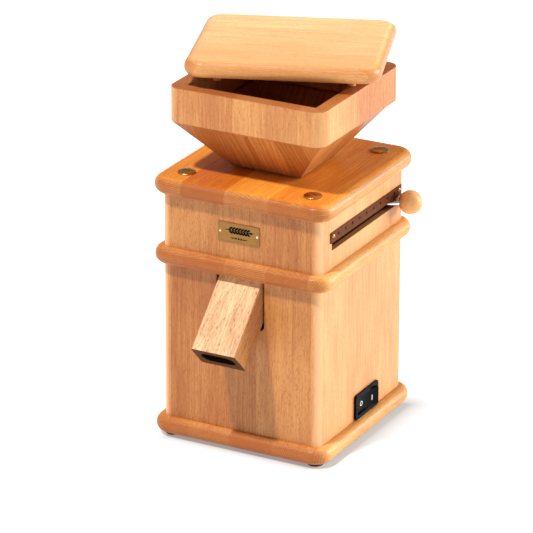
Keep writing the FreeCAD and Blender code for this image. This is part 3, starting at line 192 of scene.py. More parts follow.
def wood(name, pale, deep, grain, across, stave, seed, joint=0.0, fleck=1.0, size=1.0, lean=None,
         painted_light_tones=None, vary=0.75, ends=0.65, hollow_painted_shade=None, wear_and_painted_highlight=0.0, gloss=0.35):
    """Oiled solid beech glued up from staves. grain runs along the fibres and across over the staves, each
    stave millimetres wide with a glue line at joint. fleck is how dark the small ray flecks are and size how
    large. lean is for the hopper's four boards, whose grain leans out by that much as it climbs. A direction
    with a second pale and deep pair paints light: faces that look that way get those tones, for how light
    falls on them. vary is how much the staves differ and ends the tone of cut ends. An opening gets painted
    shade, given the middle of its mouth, the way it looks, and two depths in millimetres: faces inside it
    are painted darker between those depths, to near black. A share paints a highlight, paler, on the rounded
    standing edges, and gloss is how much the oiled surface mirrors."""
    s = Shader(name)
    place = s.vector("SUBTRACT", s.place(), tuple(axis))
    normal = s.node("TexCoord").outputs["Normal"]
    grain, across = Vector(grain).normalized(), Vector(across).normalized()
    u = s.along(place, grain)
    v = s.along(place, across)
    w = s.along(place, grain.cross(across))
    if lean is not None:
        on_side = s.math("GREATER_THAN", s.math("ABSOLUTE", s.along(place, EAST)),
                         s.math("ABSOLUTE", s.along(place, NORTH)))
        v, w = s.choose(on_side, v, w), s.choose(on_side, w, v)
        w = s.math("SUBTRACT", s.math("ABSOLUTE", w), s.math("MULTIPLY", u, lean))

    # Each stave has its own tone and its own pith, somewhere behind its face
    count = s.math("FLOOR", s.math("ADD", s.math("DIVIDE", v, stave), 50 - joint / stave))
    if lean is not None:
        count = s.math("ADD", count, s.math("MULTIPLY", on_side, 7.0))
    chance = s.node("TexWhiteNoise", noise_dimensions="1D")
    s.feed(chance.inputs["W"], s.math("ADD", count, 11.3 * seed))
    draws = s.node("SeparateColor", chance.outputs["Color"])
    tone, tilt, reach = draws.outputs[0], draws.outputs[1], draws.outputs[2]
    shift = s.math("MULTIPLY", chance.outputs["Value"], 400.0)
    fibre = s.combine(s.math("ADD", u, shift), v, w)

    def figure(length, width, detail, roughness=0.5):
        """Noise drawn out along the fibres, by its length and width in millimetres."""
        stretched = s.vector("MULTIPLY", fibre, (1 / length, 1 / width, 1 / width))
        return s.noise(stretched, 1.0, detail, roughness)

    # Growth rings are shells round the pith, pulled out of round by slow noise along the trunk
    pith_v = s.math("MULTIPLY", s.math("SUBTRACT", tilt, 0.5), 3.2 * stave)
    pith_w = s.math("ADD", s.math("MULTIPLY", reach, 55.0), 16.0)
    span = s.combine(s.math("SUBTRACT", v, pith_v), s.math("ADD", w, pith_w), 0.0)
    cone = s.math("MULTIPLY", u, s.math("MULTIPLY", s.math("SUBTRACT", tone, 0.5), 0.09))
    sway = s.math("MULTIPLY", figure(190, 34, 2), 5.0)
    radius = s.total(s.vector("LENGTH", span), cone, sway)
    late = s.math("POWER", s.math("FRACT", s.math("DIVIDE", radius, 2.0)), 1.5)
    cut_end = s.spread(s.math("ABSOLUTE", s.vector("DOT_PRODUCT", normal, tuple(grain))), 0.35, 0.85)

    streak = figure(70, 2.2, 4, 0.62)
    fine = figure(14, 0.8, 3, 0.6)
    flecks = s.spread(figure(4.2 * size, 0.75 * size, 2), 0.54, 0.7)
    amount = s.total(s.math("MULTIPLY", tone, vary), s.math("MULTIPLY", figure(110, 22, 2), 0.5),
                     0.25 - vary / 2)
    amount = s.total(amount, s.math("MULTIPLY", late, s.spread(cut_end, 0, 1, 0.16, 1.0)))
    amount = s.total(amount, s.math("MULTIPLY", s.math("SUBTRACT", streak, 0.5), 1.1))
    amount = s.math("ADD", amount, s.math("MULTIPLY", s.math("SUBTRACT", fine, 0.5), 0.95), clamp=True)

    def stained(light, dark):
        """The colour between a light and a dark tone, redder in clouds and browner on cut ends."""
        blush = shade(dark, 1.0, 0.9, 0.92)
        body = s.blend(amount, light, dark)
        body = s.blend(s.spread(figure(60, 14, 2), 0.45, 0.75, 0.0, 0.4), body, blush)
        end_tone = shade(blush, ends, ends * 0.8, ends * 0.6)
        return s.blend(s.math("MULTIPLY", cut_end, 1.0 - 0.9 * ends), body, end_tone)

    body = stained(pale, deep)
    # Painted light: faces that look one way get a second pair of tones, coloured for how light falls on
    # them.
    if painted_light_tones is not None:
        toward, *tones = painted_light_tones
        turned = s.vector("DOT_PRODUCT", normal, tuple(Vector(toward).normalized()))
        body = s.blend(s.spread(turned, 0.7, 0.97), body, stained(*tones))
    body = s.blend(s.math("MULTIPLY", flecks, 0.42 * fleck), body, shade(deep, 0.62, 0.46, 0.34))
    # Painted highlight: where two upright faces meet round a corner, the colour is painted paler, standing
    # in for light caught on the rounded edge.
    if wear_and_painted_highlight:
        parts = s.node("SeparateXYZ", normal)
        corner = s.math("ABSOLUTE", s.math("MULTIPLY", parts.outputs[0], parts.outputs[1]))
        body = s.blend(s.spread(corner, 0.1, 0.5, 0.0, wear_and_painted_highlight), body, shade(pale, 1.12, 1.28, 1.6))
    # Painted shade in an opening: faces inside it are coloured darker with depth, to near black, standing in
    # for the shade there.
    if hollow_painted_shade is not None:
        mouth, outward, near, far = hollow_painted_shade
        inside = s.vector("SUBTRACT", s.place(), tuple(mouth))
        inner = s.math("LESS_THAN", s.vector("DOT_PRODUCT", normal, inside), -0.0005)
        dusk = s.spread(s.along(inside, -Vector(outward)), near, far, 0.1, 0.985)
        body = s.blend(s.math("MULTIPLY", inner, dusk), body, shade(deep, 0.03, 0.02, 0.015))

    rough = s.spread(s.total(streak, s.math("MULTIPLY", flecks, 0.3)), 0.3, 0.9, 0.36, 0.56)
    relief = s.math("SUBTRACT", s.math("MULTIPLY", fine, 0.5), s.math("MULTIPLY", flecks, 0.5))
    s.bump(relief, 0.35, 0.0002)
    return s.finish(body, rough, Specular_IOR_Level=gloss, Coat_Weight=gloss * 0.3,
                    Coat_Roughness=0.25)


def metal(name, colour, stain, rough, brushed=None, patch=0.5):
    """A metal with cloudy tarnish; brushed is the direction of its fine scratches."""
    s = Shader(name)
    place = s.place()
    cloud = s.noise(s.vector("MULTIPLY", place, (160, 160, 160)), detail=4, roughness=0.6)
    lines = (5200, 5200, 5200)
    if brushed is not None:
        lines = tuple(5200 - 5000 * abs(part) for part in Vector(brushed).normalized())
    scratch = s.noise(s.vector("MULTIPLY", place, lines), detail=2)
    body = s.blend(s.spread(cloud, 0.35, 0.75, 0.0, patch), colour, stain)
    rougher = s.spread(scratch, 0.25, 0.75, rough * 0.75, rough * 1.3)
    s.bump(scratch, 0.12, 0.00005)
    return s.finish(body, rougher, Metallic=1.0)


def moulded(name, colour, wear_and_painted_highlight, rough, grain=1500, relief=0.2, **constants):
    """Plastic, rubber or casting with a fine even grain."""
    s = Shader(name)
    place = s.place()
    cloud = s.noise(s.vector("MULTIPLY", place, (90, 90, 90)), detail=3)
    pores = s.noise(s.vector("MULTIPLY", place, (grain, grain, grain)), detail=2)
    # Here the second colour is a second tone spread at random in clouds; it holds no light or shade.
    body = s.blend(s.spread(cloud, 0.3, 0.8), colour, wear_and_painted_highlight)
    s.bump(pores, relief, 0.00012)
    return s.finish(body, s.spread(pores, 0.3, 0.7, rough * 0.85, rough * 1.2), **constants)


def stone(name):
    """Bonded corundum grit: pale crystals in a darker bond."""
    s = Shader(name)
    place = s.place()
    grit = s.cells(place, 1100, "Color")
    edge = s.cells(place, 1100, "Distance", "DISTANCE_TO_EDGE")
    body = s.blend(s.node("SeparateColor", grit).outputs[0], srgb(206, 198, 184), srgb(150, 140, 126))
    body = s.blend(s.spread(edge, 0.0, 0.12, 0.6, 0.0), body, srgb(96, 88, 78))
    s.bump(edge, 0.6, 0.0004)
    return s.finish(body, s.spread(edge, 0.0, 0.3, 0.95, 0.7))


def felted(name):
    """Pressed wool felt with matted fibres."""
    s = Shader(name)
    place = s.place()
    fibres = s.noise(s.vector("MULTIPLY", place, (2600, 2600, 600)), detail=5, roughness=0.7)
    body = s.blend(s.spread(fibres, 0.3, 0.7), srgb(176, 168, 152), srgb(132, 122, 106))
    s.bump(fibres, 0.7, 0.0003)
    return s.finish(body, s.spread(fibres, 0.3, 0.7, 0.85, 1.0), Sheen_Weight=0.4)


def banded(name, colour, gap, pitch, direction, rough):
    """Stacked sheets or wound wire: fine metal lines at a pitch along a direction."""
    s = Shader(name)
    place = s.place()
    phase = s.math("FRACT", s.along(place, direction, pitch))
    ridge = s.math("SINE", s.math("MULTIPLY", phase, math.pi))
    cloud = s.noise(s.vector("MULTIPLY", place, (220, 220, 220)), detail=3)
    body = s.blend(s.spread(ridge, 0.0, 0.45), gap, colour)
    body = s.blend(s.spread(cloud, 0.4, 0.8, 0.0, 0.35), body, gap)
    s.bump(ridge, 0.5, pitch / 3)
    return s.finish(body, s.spread(cloud, 0.3, 0.7, rough * 0.8, rough * 1.2), Metallic=1.0)


HONEY = (srgb(222, 158, 92), srgb(180, 104, 50))
# Painted shade: a darker copy of the beech for the front panels, for the shade on the front.
FRONT_PAINTED_SHADE = (srgb(212, 148, 82), srgb(166, 93, 40))
# Painted light: a paler copy of the beech for the side panels, for the light on the sides.
SIDE_PAINTED_LIGHT = (srgb(230, 166, 106), srgb(190, 118, 62))
# Painted light: a deeper orange copy of the beech for the top plate's top face, for how light and shade fall
# on it.
TOP_FACE_PAINTED_LIGHT = (srgb(242, 160, 62), srgb(200, 102, 24))
LID = (srgb(234, 176, 110), srgb(206, 134, 72))
# Painted light: a paler copy of the lid's beech for its top face, for the light on it.
LID_TOP_PAINTED_LIGHT = (srgb(252, 216, 160), srgb(228, 168, 108))
# Painted light: a pale copy of the beech for the spout's face that looks forward and up.
SPOUT_TOP_PAINTED_LIGHT = (srgb(252, 214, 168), srgb(174, 110, 66))
# Painted shade: a dark copy of the beech for the rest of the spout, its sides and ends.
SPOUT_SIDES_PAINTED_SHADE = (srgb(202, 138, 88), srgb(144, 84, 46))
KNOB = (srgb(255, 206, 140), srgb(246, 164, 94))
FUNNEL = (srgb(222, 149, 80), srgb(172, 99, 44))

LID_TURN = math.radians(21.2)
lid_grain = Vector((math.cos(LID_TURN), math.sin(LID_TURN), 0))
lid_across = Vector((-math.sin(LID_TURN), math.cos(LID_TURN), 0))
spout_fall = Vector((0, -1, -1))
spout_low, spout_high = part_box("spout")
SPOUT_DEEP = 33 * MM
spout_tip = Vector((middle("spout").x, spout_low.y, spout_low.z))
# The spout's mouth gets painted shade inside, darkening from its opening inwards.
spout_mouth = (spout_tip + Vector((0, 1, 1)) * SPOUT_DEEP / 8 ** 0.5, spout_fall, -1, 1)
slot_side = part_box("upper_right_panel")[1].x
slot_middle = Vector((slot_side, middle("scale_strip").y, middle("lever_knob").z))
# The lever slot gets painted shade inside, from 5.6 mm to 6.6 mm deep.
lever_slot = (slot_middle, EAST, 5.6, 6.6)
funnel_low, funnel_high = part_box("hopper_funnel_boards")
FUNNEL_FOOT = 77 * MM
funnel_lean = (funnel_high.x - funnel_low.x - FUNNEL_FOOT) / 2 / (funnel_high.z - funnel_low.z)

# node: tones, direction of the grain, direction across the staves, stave width in mm, extras
WOODS = {
    "base_plate": (HONEY, NORTH, EAST, 48, {"seed": 524, "joint": -8, "gloss": 0.2}),
    "mid_plate": (HONEY, NORTH, EAST, 47, {"vary": 0.9, "seed": 296, "joint": -13.7, "gloss": 0.2}),
    "top_plate": (HONEY, NORTH, EAST, 49, {"painted_light_tones": (UP, *TOP_FACE_PAINTED_LIGHT), "vary": 1.0, "seed": 28, "joint": -13.7,
                                              "gloss": 0.2}),
    "lower_left_panel": (SIDE_PAINTED_LIGHT, UP, NORTH, 41, {"vary": 0.5, "wear_and_painted_highlight": 0.9}),
    "lower_right_panel": (SIDE_PAINTED_LIGHT, UP, NORTH, 67, {"vary": 0.5, "wear_and_painted_highlight": 0.9, "seed": 200, "joint": -33.7}),
    "lower_front_panel": (FRONT_PAINTED_SHADE, UP, EAST, 40, {"vary": 0.7, "seed": 389, "joint": -21.7, "fleck": 1.4,
                                                   "size": 0.9}),
    "lower_rear_panel": (HONEY, UP, EAST, 40, {}),
    "upper_left_panel": (SIDE_PAINTED_LIGHT, UP, NORTH, 42, {"vary": 0.5, "wear_and_painted_highlight": 0.9}),
    "upper_right_panel": (SIDE_PAINTED_LIGHT, UP, NORTH, 45, {"vary": 0.5, "wear_and_painted_highlight": 0.9, "hollow_painted_shade": lever_slot}),
    "upper_front_panel": (FRONT_PAINTED_SHADE, UP, EAST, 38, {"vary": 0.4, "fleck": 1.4, "size": 0.9}),
    "upper_rear_panel": (HONEY, UP, EAST, 40, {}),
    "corner_posts": (HONEY, UP, EAST, 60, {}),
    "lid_panel": (LID, lid_grain, lid_across, 48, {"painted_light_tones": (UP, *LID_TOP_PAINTED_LIGHT)}),
    "lid_pegs": (LID, UP, EAST, 200, {}),
    "lever_knob": (KNOB, EAST, UP, 90, {"fleck": 0.7}),
    "hopper_neck": (HONEY, UP, EAST, 90, {}),
    # The spout's cut ends are very dark: darker end grain, deepened by painted shade on the end face.
    "spout": (SPOUT_SIDES_PAINTED_SHADE, spout_fall, EAST, 90, {"size": 1.3, "fleck": 1.4, "ends": 0.12, "hollow_painted_shade": spout_mouth,
                                           "painted_light_tones": ((0, -1, 1), *SPOUT_TOP_PAINTED_LIGHT), "gloss": 0.06}),
    "hopper_rim_boards": (HONEY, UP, EAST, 36, {"lean": 0.0, "wear_and_painted_highlight": 0.4, "fleck": 1.2, "size": 0.85}),
    "hopper_funnel_boards": (FUNNEL, UP, EAST, 30, {"lean": funnel_lean}),
}


def dress_wood():
    for seed, (node, (tones, grain, across, stave, extras)) in enumerate(WOODS.items(), start=1):
        settings = {"seed": seed, "joint": 0.37 * seed * stave % stave, **extras}
        paint(node, wood(node + "_beech", *tones, grain, across, stave, **settings))


def paint(node, material):
    mesh = frame["nodes"][node].data
    mesh.materials.clear()
    mesh.materials.append(material)


def dress_rest():
    brass = metal("brass", srgb(190, 146, 92), srgb(150, 108, 60), 0.36, patch=0.35)
    finishes = {
        "brass": brass,
        "chrome": metal("chrome", srgb(224, 226, 230), srgb(190, 194, 200), 0.09, patch=0.2),
        "steel": metal("steel", srgb(190, 190, 194), srgb(140, 140, 146), 0.3, UP),
        "zinc": metal("zinc", srgb(206, 208, 212), srgb(160, 166, 176), 0.35),
        "bearing_steel": metal("bearing_steel", srgb(180, 180, 186), srgb(120, 120, 128), 0.22),
        "cast_alloy": moulded("cast_alloy", srgb(186, 188, 190), srgb(158, 160, 164), 0.5, 1100, 0.4,
                               Metallic=0.9),
        "laminations": banded("laminations", srgb(150, 152, 160), srgb(52, 52, 58), 0.7 * MM, UP, 0.4),
        "copper_wire": banded("copper_wire", srgb(196, 110, 60), srgb(92, 40, 20), 0.9 * MM, (1, 1, 0.4),
                              0.35),
        "black_plastic": moulded("black_plastic", srgb(12, 12, 14), srgb(18, 18, 20), 0.35, 2400, 0.1),
        "grey_plastic": moulded("grey_plastic", srgb(146, 148, 150), srgb(124, 126, 128), 0.5),
        "white_plastic": moulded("white_plastic", srgb(230, 227, 218), srgb(212, 208, 196), 0.45),
        "rubber": moulded("rubber", srgb(30, 36, 34), srgb(48, 54, 52), 0.75, 1800, 0.35),
        "felt": felted("felt"),
        "grit_stone": stone("grit_stone"),
    }
    for node, slot in slots.items():
        if slot in finishes:
            paint(node, finishes[slot])
    paint("scale_strip", metal("scale_brass", srgb(98, 46, 10), srgb(62, 28, 5), 0.55, NORTH))
    finishes["screw_brass"] = metal("screw_brass", srgb(214, 160, 94), srgb(140, 96, 48), 0.27, patch=0.6)
    finishes["plate_brass"] = metal("plate_brass", srgb(158, 116, 66), srgb(122, 84, 44), 0.4, EAST, 0.4)
    finishes["enamel"] = moulded("enamel", srgb(10, 8, 8), srgb(18, 15, 14), 0.6, 900, 0.1,
                                  Specular_IOR_Level=0.05)
    paint("nameplate_pins", metal("pin_brass", srgb(255, 244, 214), srgb(226, 200, 150), 0.3))
    finishes["switch_black"] = moulded("switch_black", srgb(4, 4, 5), srgb(8, 8, 9), 0.3, 2400, 0.1,
                                       Specular_IOR_Level=0.04)
    paint("switch_housing", finishes["switch_black"])
    return finishes


# ---------------------------------------------------------------- shapes

def new_object(name, build):
    """A mesh object that build(bm) fills, in the row frame."""
    bm = bmesh.new()
    build(bm)
    bmesh.ops.recalc_face_normals(bm, faces=bm.faces)
    mesh = bpy.data.meshes.new(name)
    bm.to_mesh(mesh)
    bm.free()
    made = bpy.data.objects.new(name, mesh)
    bpy.context.scene.collection.objects.link(made)
    return made


def finish_piece(piece, material, body, slot, *replaced):
    """Gives a new piece its finish and its body, and hides the CAD nodes that it stands for. slot is not
    used.
    """
    piece.data.materials.clear()
    piece.data.materials.append(material)
    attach(piece, body)
    if replaced:
        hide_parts(*replaced)
    return piece


def smooth(piece, angle=35):
    """Shades a piece smooth except across sharp edges."""
    mesh = piece.data
    mesh.shade_smooth()
    mesh.set_sharp_from_angle(angle=math.radians(angle))


def carve(piece, build):
    """Cuts the shape that build(bm) makes out of a piece."""
    cutter = new_object("cutter", build)
    cut = piece.modifiers.new("cut", "BOOLEAN")
    cut.object = cutter
    cut.operation = "DIFFERENCE"
    cut.solver = "EXACT"
    bpy.context.view_layer.update()
    carved = piece.evaluated_get(bpy.context.evaluated_depsgraph_get())
    mesh = bpy.data.meshes.new_from_object(carved)
    piece.modifiers.clear()
    piece.data = mesh
    bpy.data.objects.remove(cutter)


def lathe(bm, profile, place, segments=48, lobes=0, ripple=0.0):
    """Turns (radius, height) points in mm about the Z of a place matrix. Rows at the largest radius
    ripple in and out by that share, once for each lobe."""
    widest = max(radius for radius, height in profile)
    rows = []
    for radius, height in profile:
        row = []
        for step in range(segments):
            turn = 2 * math.pi * step / segments
            reach = radius * (1 + ripple * math.cos(lobes * turn) * (radius == widest))
            spot = Vector((reach * MM * math.cos(turn), reach * MM * math.sin(turn), height * MM))
            row.append(bm.verts.new(place @ spot))
        rows.append(row)
    for lower, upper in zip(rows, rows[1:]):
        for step in range(segments):
            after = (step + 1) % segments
            bm.faces.new((lower[step], lower[after], upper[after], upper[step]))
    bm.faces.new(rows[0])
    bm.faces.new(rows[-1])


def block(bm, place, size):
    """A box of a size in mm, centred on a place matrix."""
    scale = Matrix.Diagonal((*(part * MM for part in size), 1))
    bmesh.ops.create_cube(bm, size=1, matrix=place @ scale)


def prism(bm, outline, place, height):
    """Raises an outline in mm from the XY plane of a place matrix by a height in mm."""
    floor = [bm.verts.new(place @ Vector((x * MM, y * MM, 0))) for x, y in outline]
    roof = [bm.verts.new(place @ Vector((x * MM, y * MM, height * MM))) for x, y in outline]
    bm.faces.new(floor)
    bm.faces.new(roof)
    for step in range(len(outline)):
        after = (step + 1) % len(outline)
        bm.faces.new((floor[step], floor[after], roof[after], roof[step]))


def ring(bm, outer, inner, place, low, high):
    """A closed band between two outlines in mm, from one height in mm to another."""
    rows = [[bm.verts.new(place @ Vector((x * MM, y * MM, z * MM))) for x, y in outline]
            for outline, z in ((outer, low), (outer, high), (inner, high), (inner, low))]
    for one, other in zip(rows, rows[1:] + rows[:1]):
        for step in range(len(one)):
            after = (step + 1) % len(one)
            bm.faces.new((one[step], one[after], other[after], other[step]))


def oval(wide, high, corner=None, steps=8, x=0.0, y=0.0, turn=0.0):
    """An outline in mm: an ellipse, or a rectangle with rounded corners where a corner radius is given."""
    points = []
    for quarter, (sx, sy) in enumerate(((1, 1), (-1, 1), (-1, -1), (1, -1))):
        for step in range(steps + 1):
            angle = math.pi / 2 * (quarter + step / steps)
            if corner is None:
                points.append((wide / 2 * math.cos(angle), high / 2 * math.sin(angle)))
            else:
                points.append((sx * (wide / 2 - corner) + corner * math.cos(angle),
                               sy * (high / 2 - corner) + corner * math.sin(angle)))
    if corner is None:
        points = [point for index, point in enumerate(points) if index % (steps + 1) != steps]
    return [(x + a * math.cos(turn) - b * math.sin(turn), y + a * math.sin(turn) + b * math.cos(turn))
            for a, b in points]


def facing(point, out, up=UP):
    """A place matrix at a point, with Z pointing out and Y as near to up as it can."""
    z = Vector(out).normalized()
    x = Vector(up).cross(z).normalized()
    turn = Matrix((x, z.cross(x), z)).transposed().to_4x4()
    return Matrix.Translation(point) @ turn


# ---------------------------------------------------------------- pieces

def case_screws(finishes):
    """Four flat-domed coin-slot screws with milled rims, in the corners of the top plate."""
    head_wide, head_high, shank_wide = 9.25, 2.85, 3.0
    low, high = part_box("case_screws")
    seat = high.z - head_high * MM
    inset = head_wide * MM
    shank = (low.z - seat) / MM
    profile = [(shank_wide, shank), (shank_wide, 0), (8.75, 0), (head_wide, 0.35), (head_wide, 1.15),
               (8.8, 1.6), (8.2, 1.9), (7.6, 1.95), (7.2, 2.1), (5.6, 2.5), (3.4, 2.76), (1.2, head_high)]
    spots = [Vector((x, y, seat)) for x in (low.x + inset, high.x - inset)
             for y in (low.y + inset, high.y - inset)]
    turns = [math.radians(angle) for angle in (12, 64, -22, 38)]

    def heads(bm):
        for spot in spots:
            lathe(bm, profile, Matrix.Translation(spot), 160, lobes=40, ripple=0.012)

    def slots(bm):
        for spot, turn in zip(spots, turns):
            place = Matrix.Translation(spot + UP * head_high * MM) @ Matrix.Rotation(turn, 4, "Z")
            block(bm, place, (12.6, 1.7, 2.2))

    piece = new_object("case_screw_set", heads)
    carve(piece, slots)
    smooth(piece, 28)
    finish_piece(piece, finishes["screw_brass"], "mill", "brass", "case_screws")


def scale_screws(finishes):
    """Two small round-head screws that hold the scale."""
    low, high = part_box("scale_screws")
    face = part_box("scale_strip")[1].x
    radius = (high.z - low.z) / 2
    middle_z = (low.z + high.z) / 2
    spots = [Vector((face, y, middle_z)) for y in (low.y + radius, high.y - radius)]
    wide = radius / MM
    depth = (low.x - face) / MM
    shank, dome = 1.05, 1.8
    profile = [(shank, depth), (shank, 0), (wide, 0), (wide, 0.3), (2.1, 0.85), (1.65, 1.35), (0.9, 1.7),
               (0.3, dome)]

    def heads(bm):
        for spot in spots:
            lathe(bm, profile, facing(spot, EAST), 40)

    def slots(bm):
        for spot, turn in zip(spots, (0.5, -0.9)):
            top = facing(spot + EAST * dome * MM, EAST)
            block(bm, top @ Matrix.Rotation(turn, 4, "Z"), (6, 0.6, 1.5))

    piece = new_object("scale_screw_pair", heads)
    carve(piece, slots)
    smooth(piece)
    finish_piece(piece, finishes["screw_brass"], "mill", "brass", "scale_screws")


def scale_marks(finishes):
    """Nine enamelled marks on the scale, one for each coarseness."""
    low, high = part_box("scale_strip")
    first, pitch, drop, sunk, count = 16.3 * MM, 15.55 * MM, 4.7 * MM, 0.3 * MM, 9

    def marks(bm):
        for step in range(count):
            spot = Vector((high.x - sunk, low.y + first + pitch * step, high.z - drop))
            tall = 3.4 if step % 2 == 0 else 2.8
            prism(bm, oval(2.2, tall, 1.09, 6), facing(spot, EAST), 0.5)

    piece = new_object("scale_marks", marks)
    smooth(piece)
    finish_piece(piece, finishes["enamel"], "mill", "brass")


def nameplate(finishes):
    """A brass plate with a raised line round it and an enamelled ear of wheat in place of any name."""
    low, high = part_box("nameplate")
    wide, tall, thick = (high.x - low.x) / MM, (high.z - low.z) / MM, (high.y - low.y) / MM
    centre = (low + high) / 2
    back = facing(Vector((centre.x, high.y, centre.z)), -NORTH)
    front = facing(Vector((centre.x, low.y, centre.z)), -NORTH)

    def plate(bm):
        prism(bm, oval(wide, tall, 0.7, 4), back, thick)

    def line(bm):
        outer, inner = oval(wide - 1.6, tall - 1.6, 0.6, 4), oval(wide - 2.3, tall - 2.3, 0.4, 4)
        ring(bm, outer, inner, front, -0.1, 0.12)

    def ear(bm):
        ear_z, pairs, pitch = 2.6, 7, 3.3
        start = 0.5 - pitch * (pairs - 1) / 2
        prism(bm, oval(pitch * (pairs + 2.2), 0.8, 0.39, 4, -0.4, ear_z), front, 0.16)
        for pair in range(pairs):
            x = start + pair * pitch
            for side in (1, -1):
                grain = oval(4.6, 2.1, None, 6, x + 0.5, ear_z + side * 2.1, side * 0.66)
                prism(bm, grain, front, 0.24)
        prism(bm, oval(4.4, 1.9, None, 6, start + pairs * pitch, ear_z), front, 0.24)
        for end in (-1, 1):
            prism(bm, oval(4.6, 0.8, 0.39, 4, end * 6.6, -5.6), front, 0.16)
        for x in (-2.9, 0.0, 2.9):
            prism(bm, oval(1.7, 1.7, 0.1, 2, x, -5.6, math.pi / 4), front, 0.2)

    piece = new_object("nameplate_sheet", lambda bm: (plate(bm), line(bm)))
    rounding = piece.modifiers.new("edges", "BEVEL")
    rounding.width, rounding.segments = 0.25 * MM, 2
    finish_piece(piece, finishes["plate_brass"], "mill", "brass", "nameplate")
    ornament = new_object("nameplate_ornament", ear)
    smooth(ornament)
    finish_piece(ornament, finishes["enamel"], "mill", "brass")


def rocker(finishes):
    """The switch's rocker with two dished halves, marked with a bar for on and a ring for off."""
    mesh = frame["nodes"]["switch_rocker"].data
    low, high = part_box("switch_rocker")
    halves = []
    for test in (lambda n: n.y > -0.1, lambda n: n.y < -0.1):
        faces = [face for face in mesh.polygons if face.normal.x > 0.9 and test(face.normal)]
        normal = faces[0].normal.copy()
        ends = sorted((mesh.vertices[v].co.y, mesh.vertices[v].co.x)
                      for face in faces for v in face.vertices)
        start, end = [Vector((x, y, 0)) for y, x in (ends[0], ends[-1])]
        halves.append((normal, start, end))
    tall = high.z - low.z
    level = (low.z + high.z) / 2
    dish, steps = 0.55 * MM, 10
    outline = []
    for normal, start, end in halves:
        for step in range(steps + 1):
            share = step / steps
            point = start.lerp(end, share) - normal * dish * math.sin(math.pi * share)
            outline.append((point.x / MM, point.y / MM))
    inward = -3.5
    outline += [(x + inward, y) for x, y in (outline[-1], outline[0])]

    def button(bm):
        prism(bm, outline, Matrix.Translation((0, 0, low.z)), tall / MM)

    piece = new_object("rocker_button", button)
    rounding = piece.modifiers.new("edges", "BEVEL")
    rounding.width, rounding.segments, rounding.angle_limit = 0.45 * MM, 3, math.radians(50)
    smooth(piece, 40)
    finish_piece(piece, finishes["switch_black"], "rocker", "black_plastic", "switch_rocker")

    def signs(bm):
        sign_high, sunk = 0.25, 0.12 * MM
        spots = [start.lerp(end, 0.5) - normal * (dish + sunk) + UP * level
                 for normal, start, end in halves]
        off, on = [facing(spot, normal) for spot, (normal, start, end) in zip(spots, halves)]
        ring(bm, oval(5.4, 5.4, None, 8), oval(3.6, 3.6, None, 8), off, 0, sign_high)
        prism(bm, oval(1.1, 5.6, 0.2, 2), on, sign_high)

    marks = new_object("rocker_signs", signs)
    smooth(marks)
    finish_piece(marks, finishes["white_plastic"], "rocker", "white_plastic")


def soften(node, width, angle=40):
    """Breaks the sharp edges of a CAD node a little."""
    bevel = frame["nodes"][node].modifiers.new("soft_edges", "BEVEL")
    bevel.width = width * MM
    bevel.segments = 2
    bevel.limit_method = "ANGLE"
    bevel.angle_limit = math.radians(angle)


# ---------------------------------------------------------------- stage

def make_camera():
    """A long lens, looking down on the front and the right side."""
    data = bpy.data.cameras.new("camera")
    data.lens = 259.2
    data.sensor_width = 36
    data.clip_end = 100
    camera = bpy.data.objects.new("camera", data)
    yaw, pitch, roll = math.radians(27.93), math.radians(21.89), math.radians(0.15)
    distance = 3.912
    back = Vector((math.sin(yaw) * math.cos(pitch), -math.cos(yaw) * math.cos(pitch),
                   math.sin(pitch)))
    target = (cad_low + cad_high) / 2 + Vector((-5.9, -15.6, -34)) * MM
    camera.matrix_world = (Matrix.Translation(target + back * distance)
                           @ back.to_track_quat("Z", "Y").to_matrix().to_4x4()
                           @ Matrix.Rotation(roll, 4, "Z"))
    bpy.context.scene.collection.objects.link(camera)
    bpy.context.scene.camera = camera


def add_light(name, direction, spread, strength, colour):
    """Even light over the whole stage from one direction, soft over an angle in degrees.
    A strength of 1 makes a white surface that faces it white."""
    data = bpy.data.lights.new(name, "SUN")
    data.angle = math.radians(spread)
    data.energy = strength * math.pi
    data.color = colour
    lamp = bpy.data.objects.new(name, data)
    lamp.rotation_euler = Vector(direction).to_track_quat("Z", "Y").to_euler()
    bpy.context.scene.collection.objects.link(lamp)


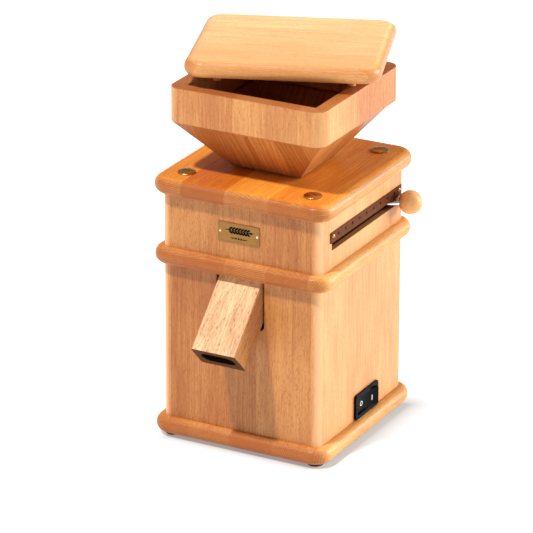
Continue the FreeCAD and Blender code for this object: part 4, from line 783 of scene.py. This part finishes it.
def make_stage():
    bpy.context.scene.view_settings.view_transform = "Standard"
    world = bpy.data.worlds.new("studio")
    world.use_nodes = True
    world.node_tree.nodes["Background"].inputs["Color"].default_value = (1, 1, 1, 1)
    world.node_tree.nodes["Background"].inputs["Strength"].default_value = 0.28
    bpy.context.scene.world = world

    add_light("key", (-0.35, -1.0, 2.0), 4.5, 1.0, (1.0, 0.97, 0.92))
    add_light("side", (1.0, 0.85, 0.32), 36, 1.6, (0.88, 1.0, 0.96))

    bm = bmesh.new()
    bmesh.ops.create_circle(bm, cap_ends=True, segments=96, radius=60)
    mesh = bpy.data.meshes.new("floor")
    bm.to_mesh(mesh)
    bm.free()
    floor = bpy.data.objects.new("floor", mesh)
    floor.location.z = cad_low.z
    mesh.materials.append(floor_paper())
    bpy.context.scene.collection.objects.link(floor)


def floor_paper():
    """White paper that glows, which paints light over the lamps' cast shadows. Its glow dims close round the
    base, which paints a soft contact shadow.
    """
    s = Shader("floor_paper")
    low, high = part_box("base_plate")
    # Painted contact shadow: round the base, a little to the right and front, the cool-tinted glow falls
    # from 0.88 to 0.28 within 36 mm.
    centre = (low + high) / 2 + Vector((9, -5, 0)) * MM
    away = s.vector("ABSOLUTE", s.vector("SUBTRACT", s.place(), tuple(centre)))
    half = (high - low) / 2 - Vector((8, 8, 0)) * MM
    gap = s.vector("MAXIMUM", s.vector("SUBTRACT", away, (half.x, half.y, 1)), (0, 0, 0))
    near = s.vector("LENGTH", gap)
    glow = s.math("POWER", s.spread(near, 0.0, 36 * MM, 0.0, 1.0), 0.6)
    s.feed(s.surface.inputs["Emission Color"], (0.93, 0.96, 1, 1))
    s.feed(s.surface.inputs["Emission Strength"], s.spread(glow, 0.0, 1.0, 0.28, 0.88))
    grain = s.noise(s.vector("MULTIPLY", s.place(), (40, 40, 40)))
    return s.finish(s.blend(grain, (0.44, 0.44, 0.445, 1), (0.46, 0.46, 0.46, 1)), 0.8)


make_camera()
make_stage()
finishes = dress_rest()
dress_wood()
case_screws(finishes)
scale_screws(finishes)
scale_marks(finishes)
nameplate(finishes)
rocker(finishes)
for node in ("switch_housing", "lid_pegs"):
    soften(node, 0.4)
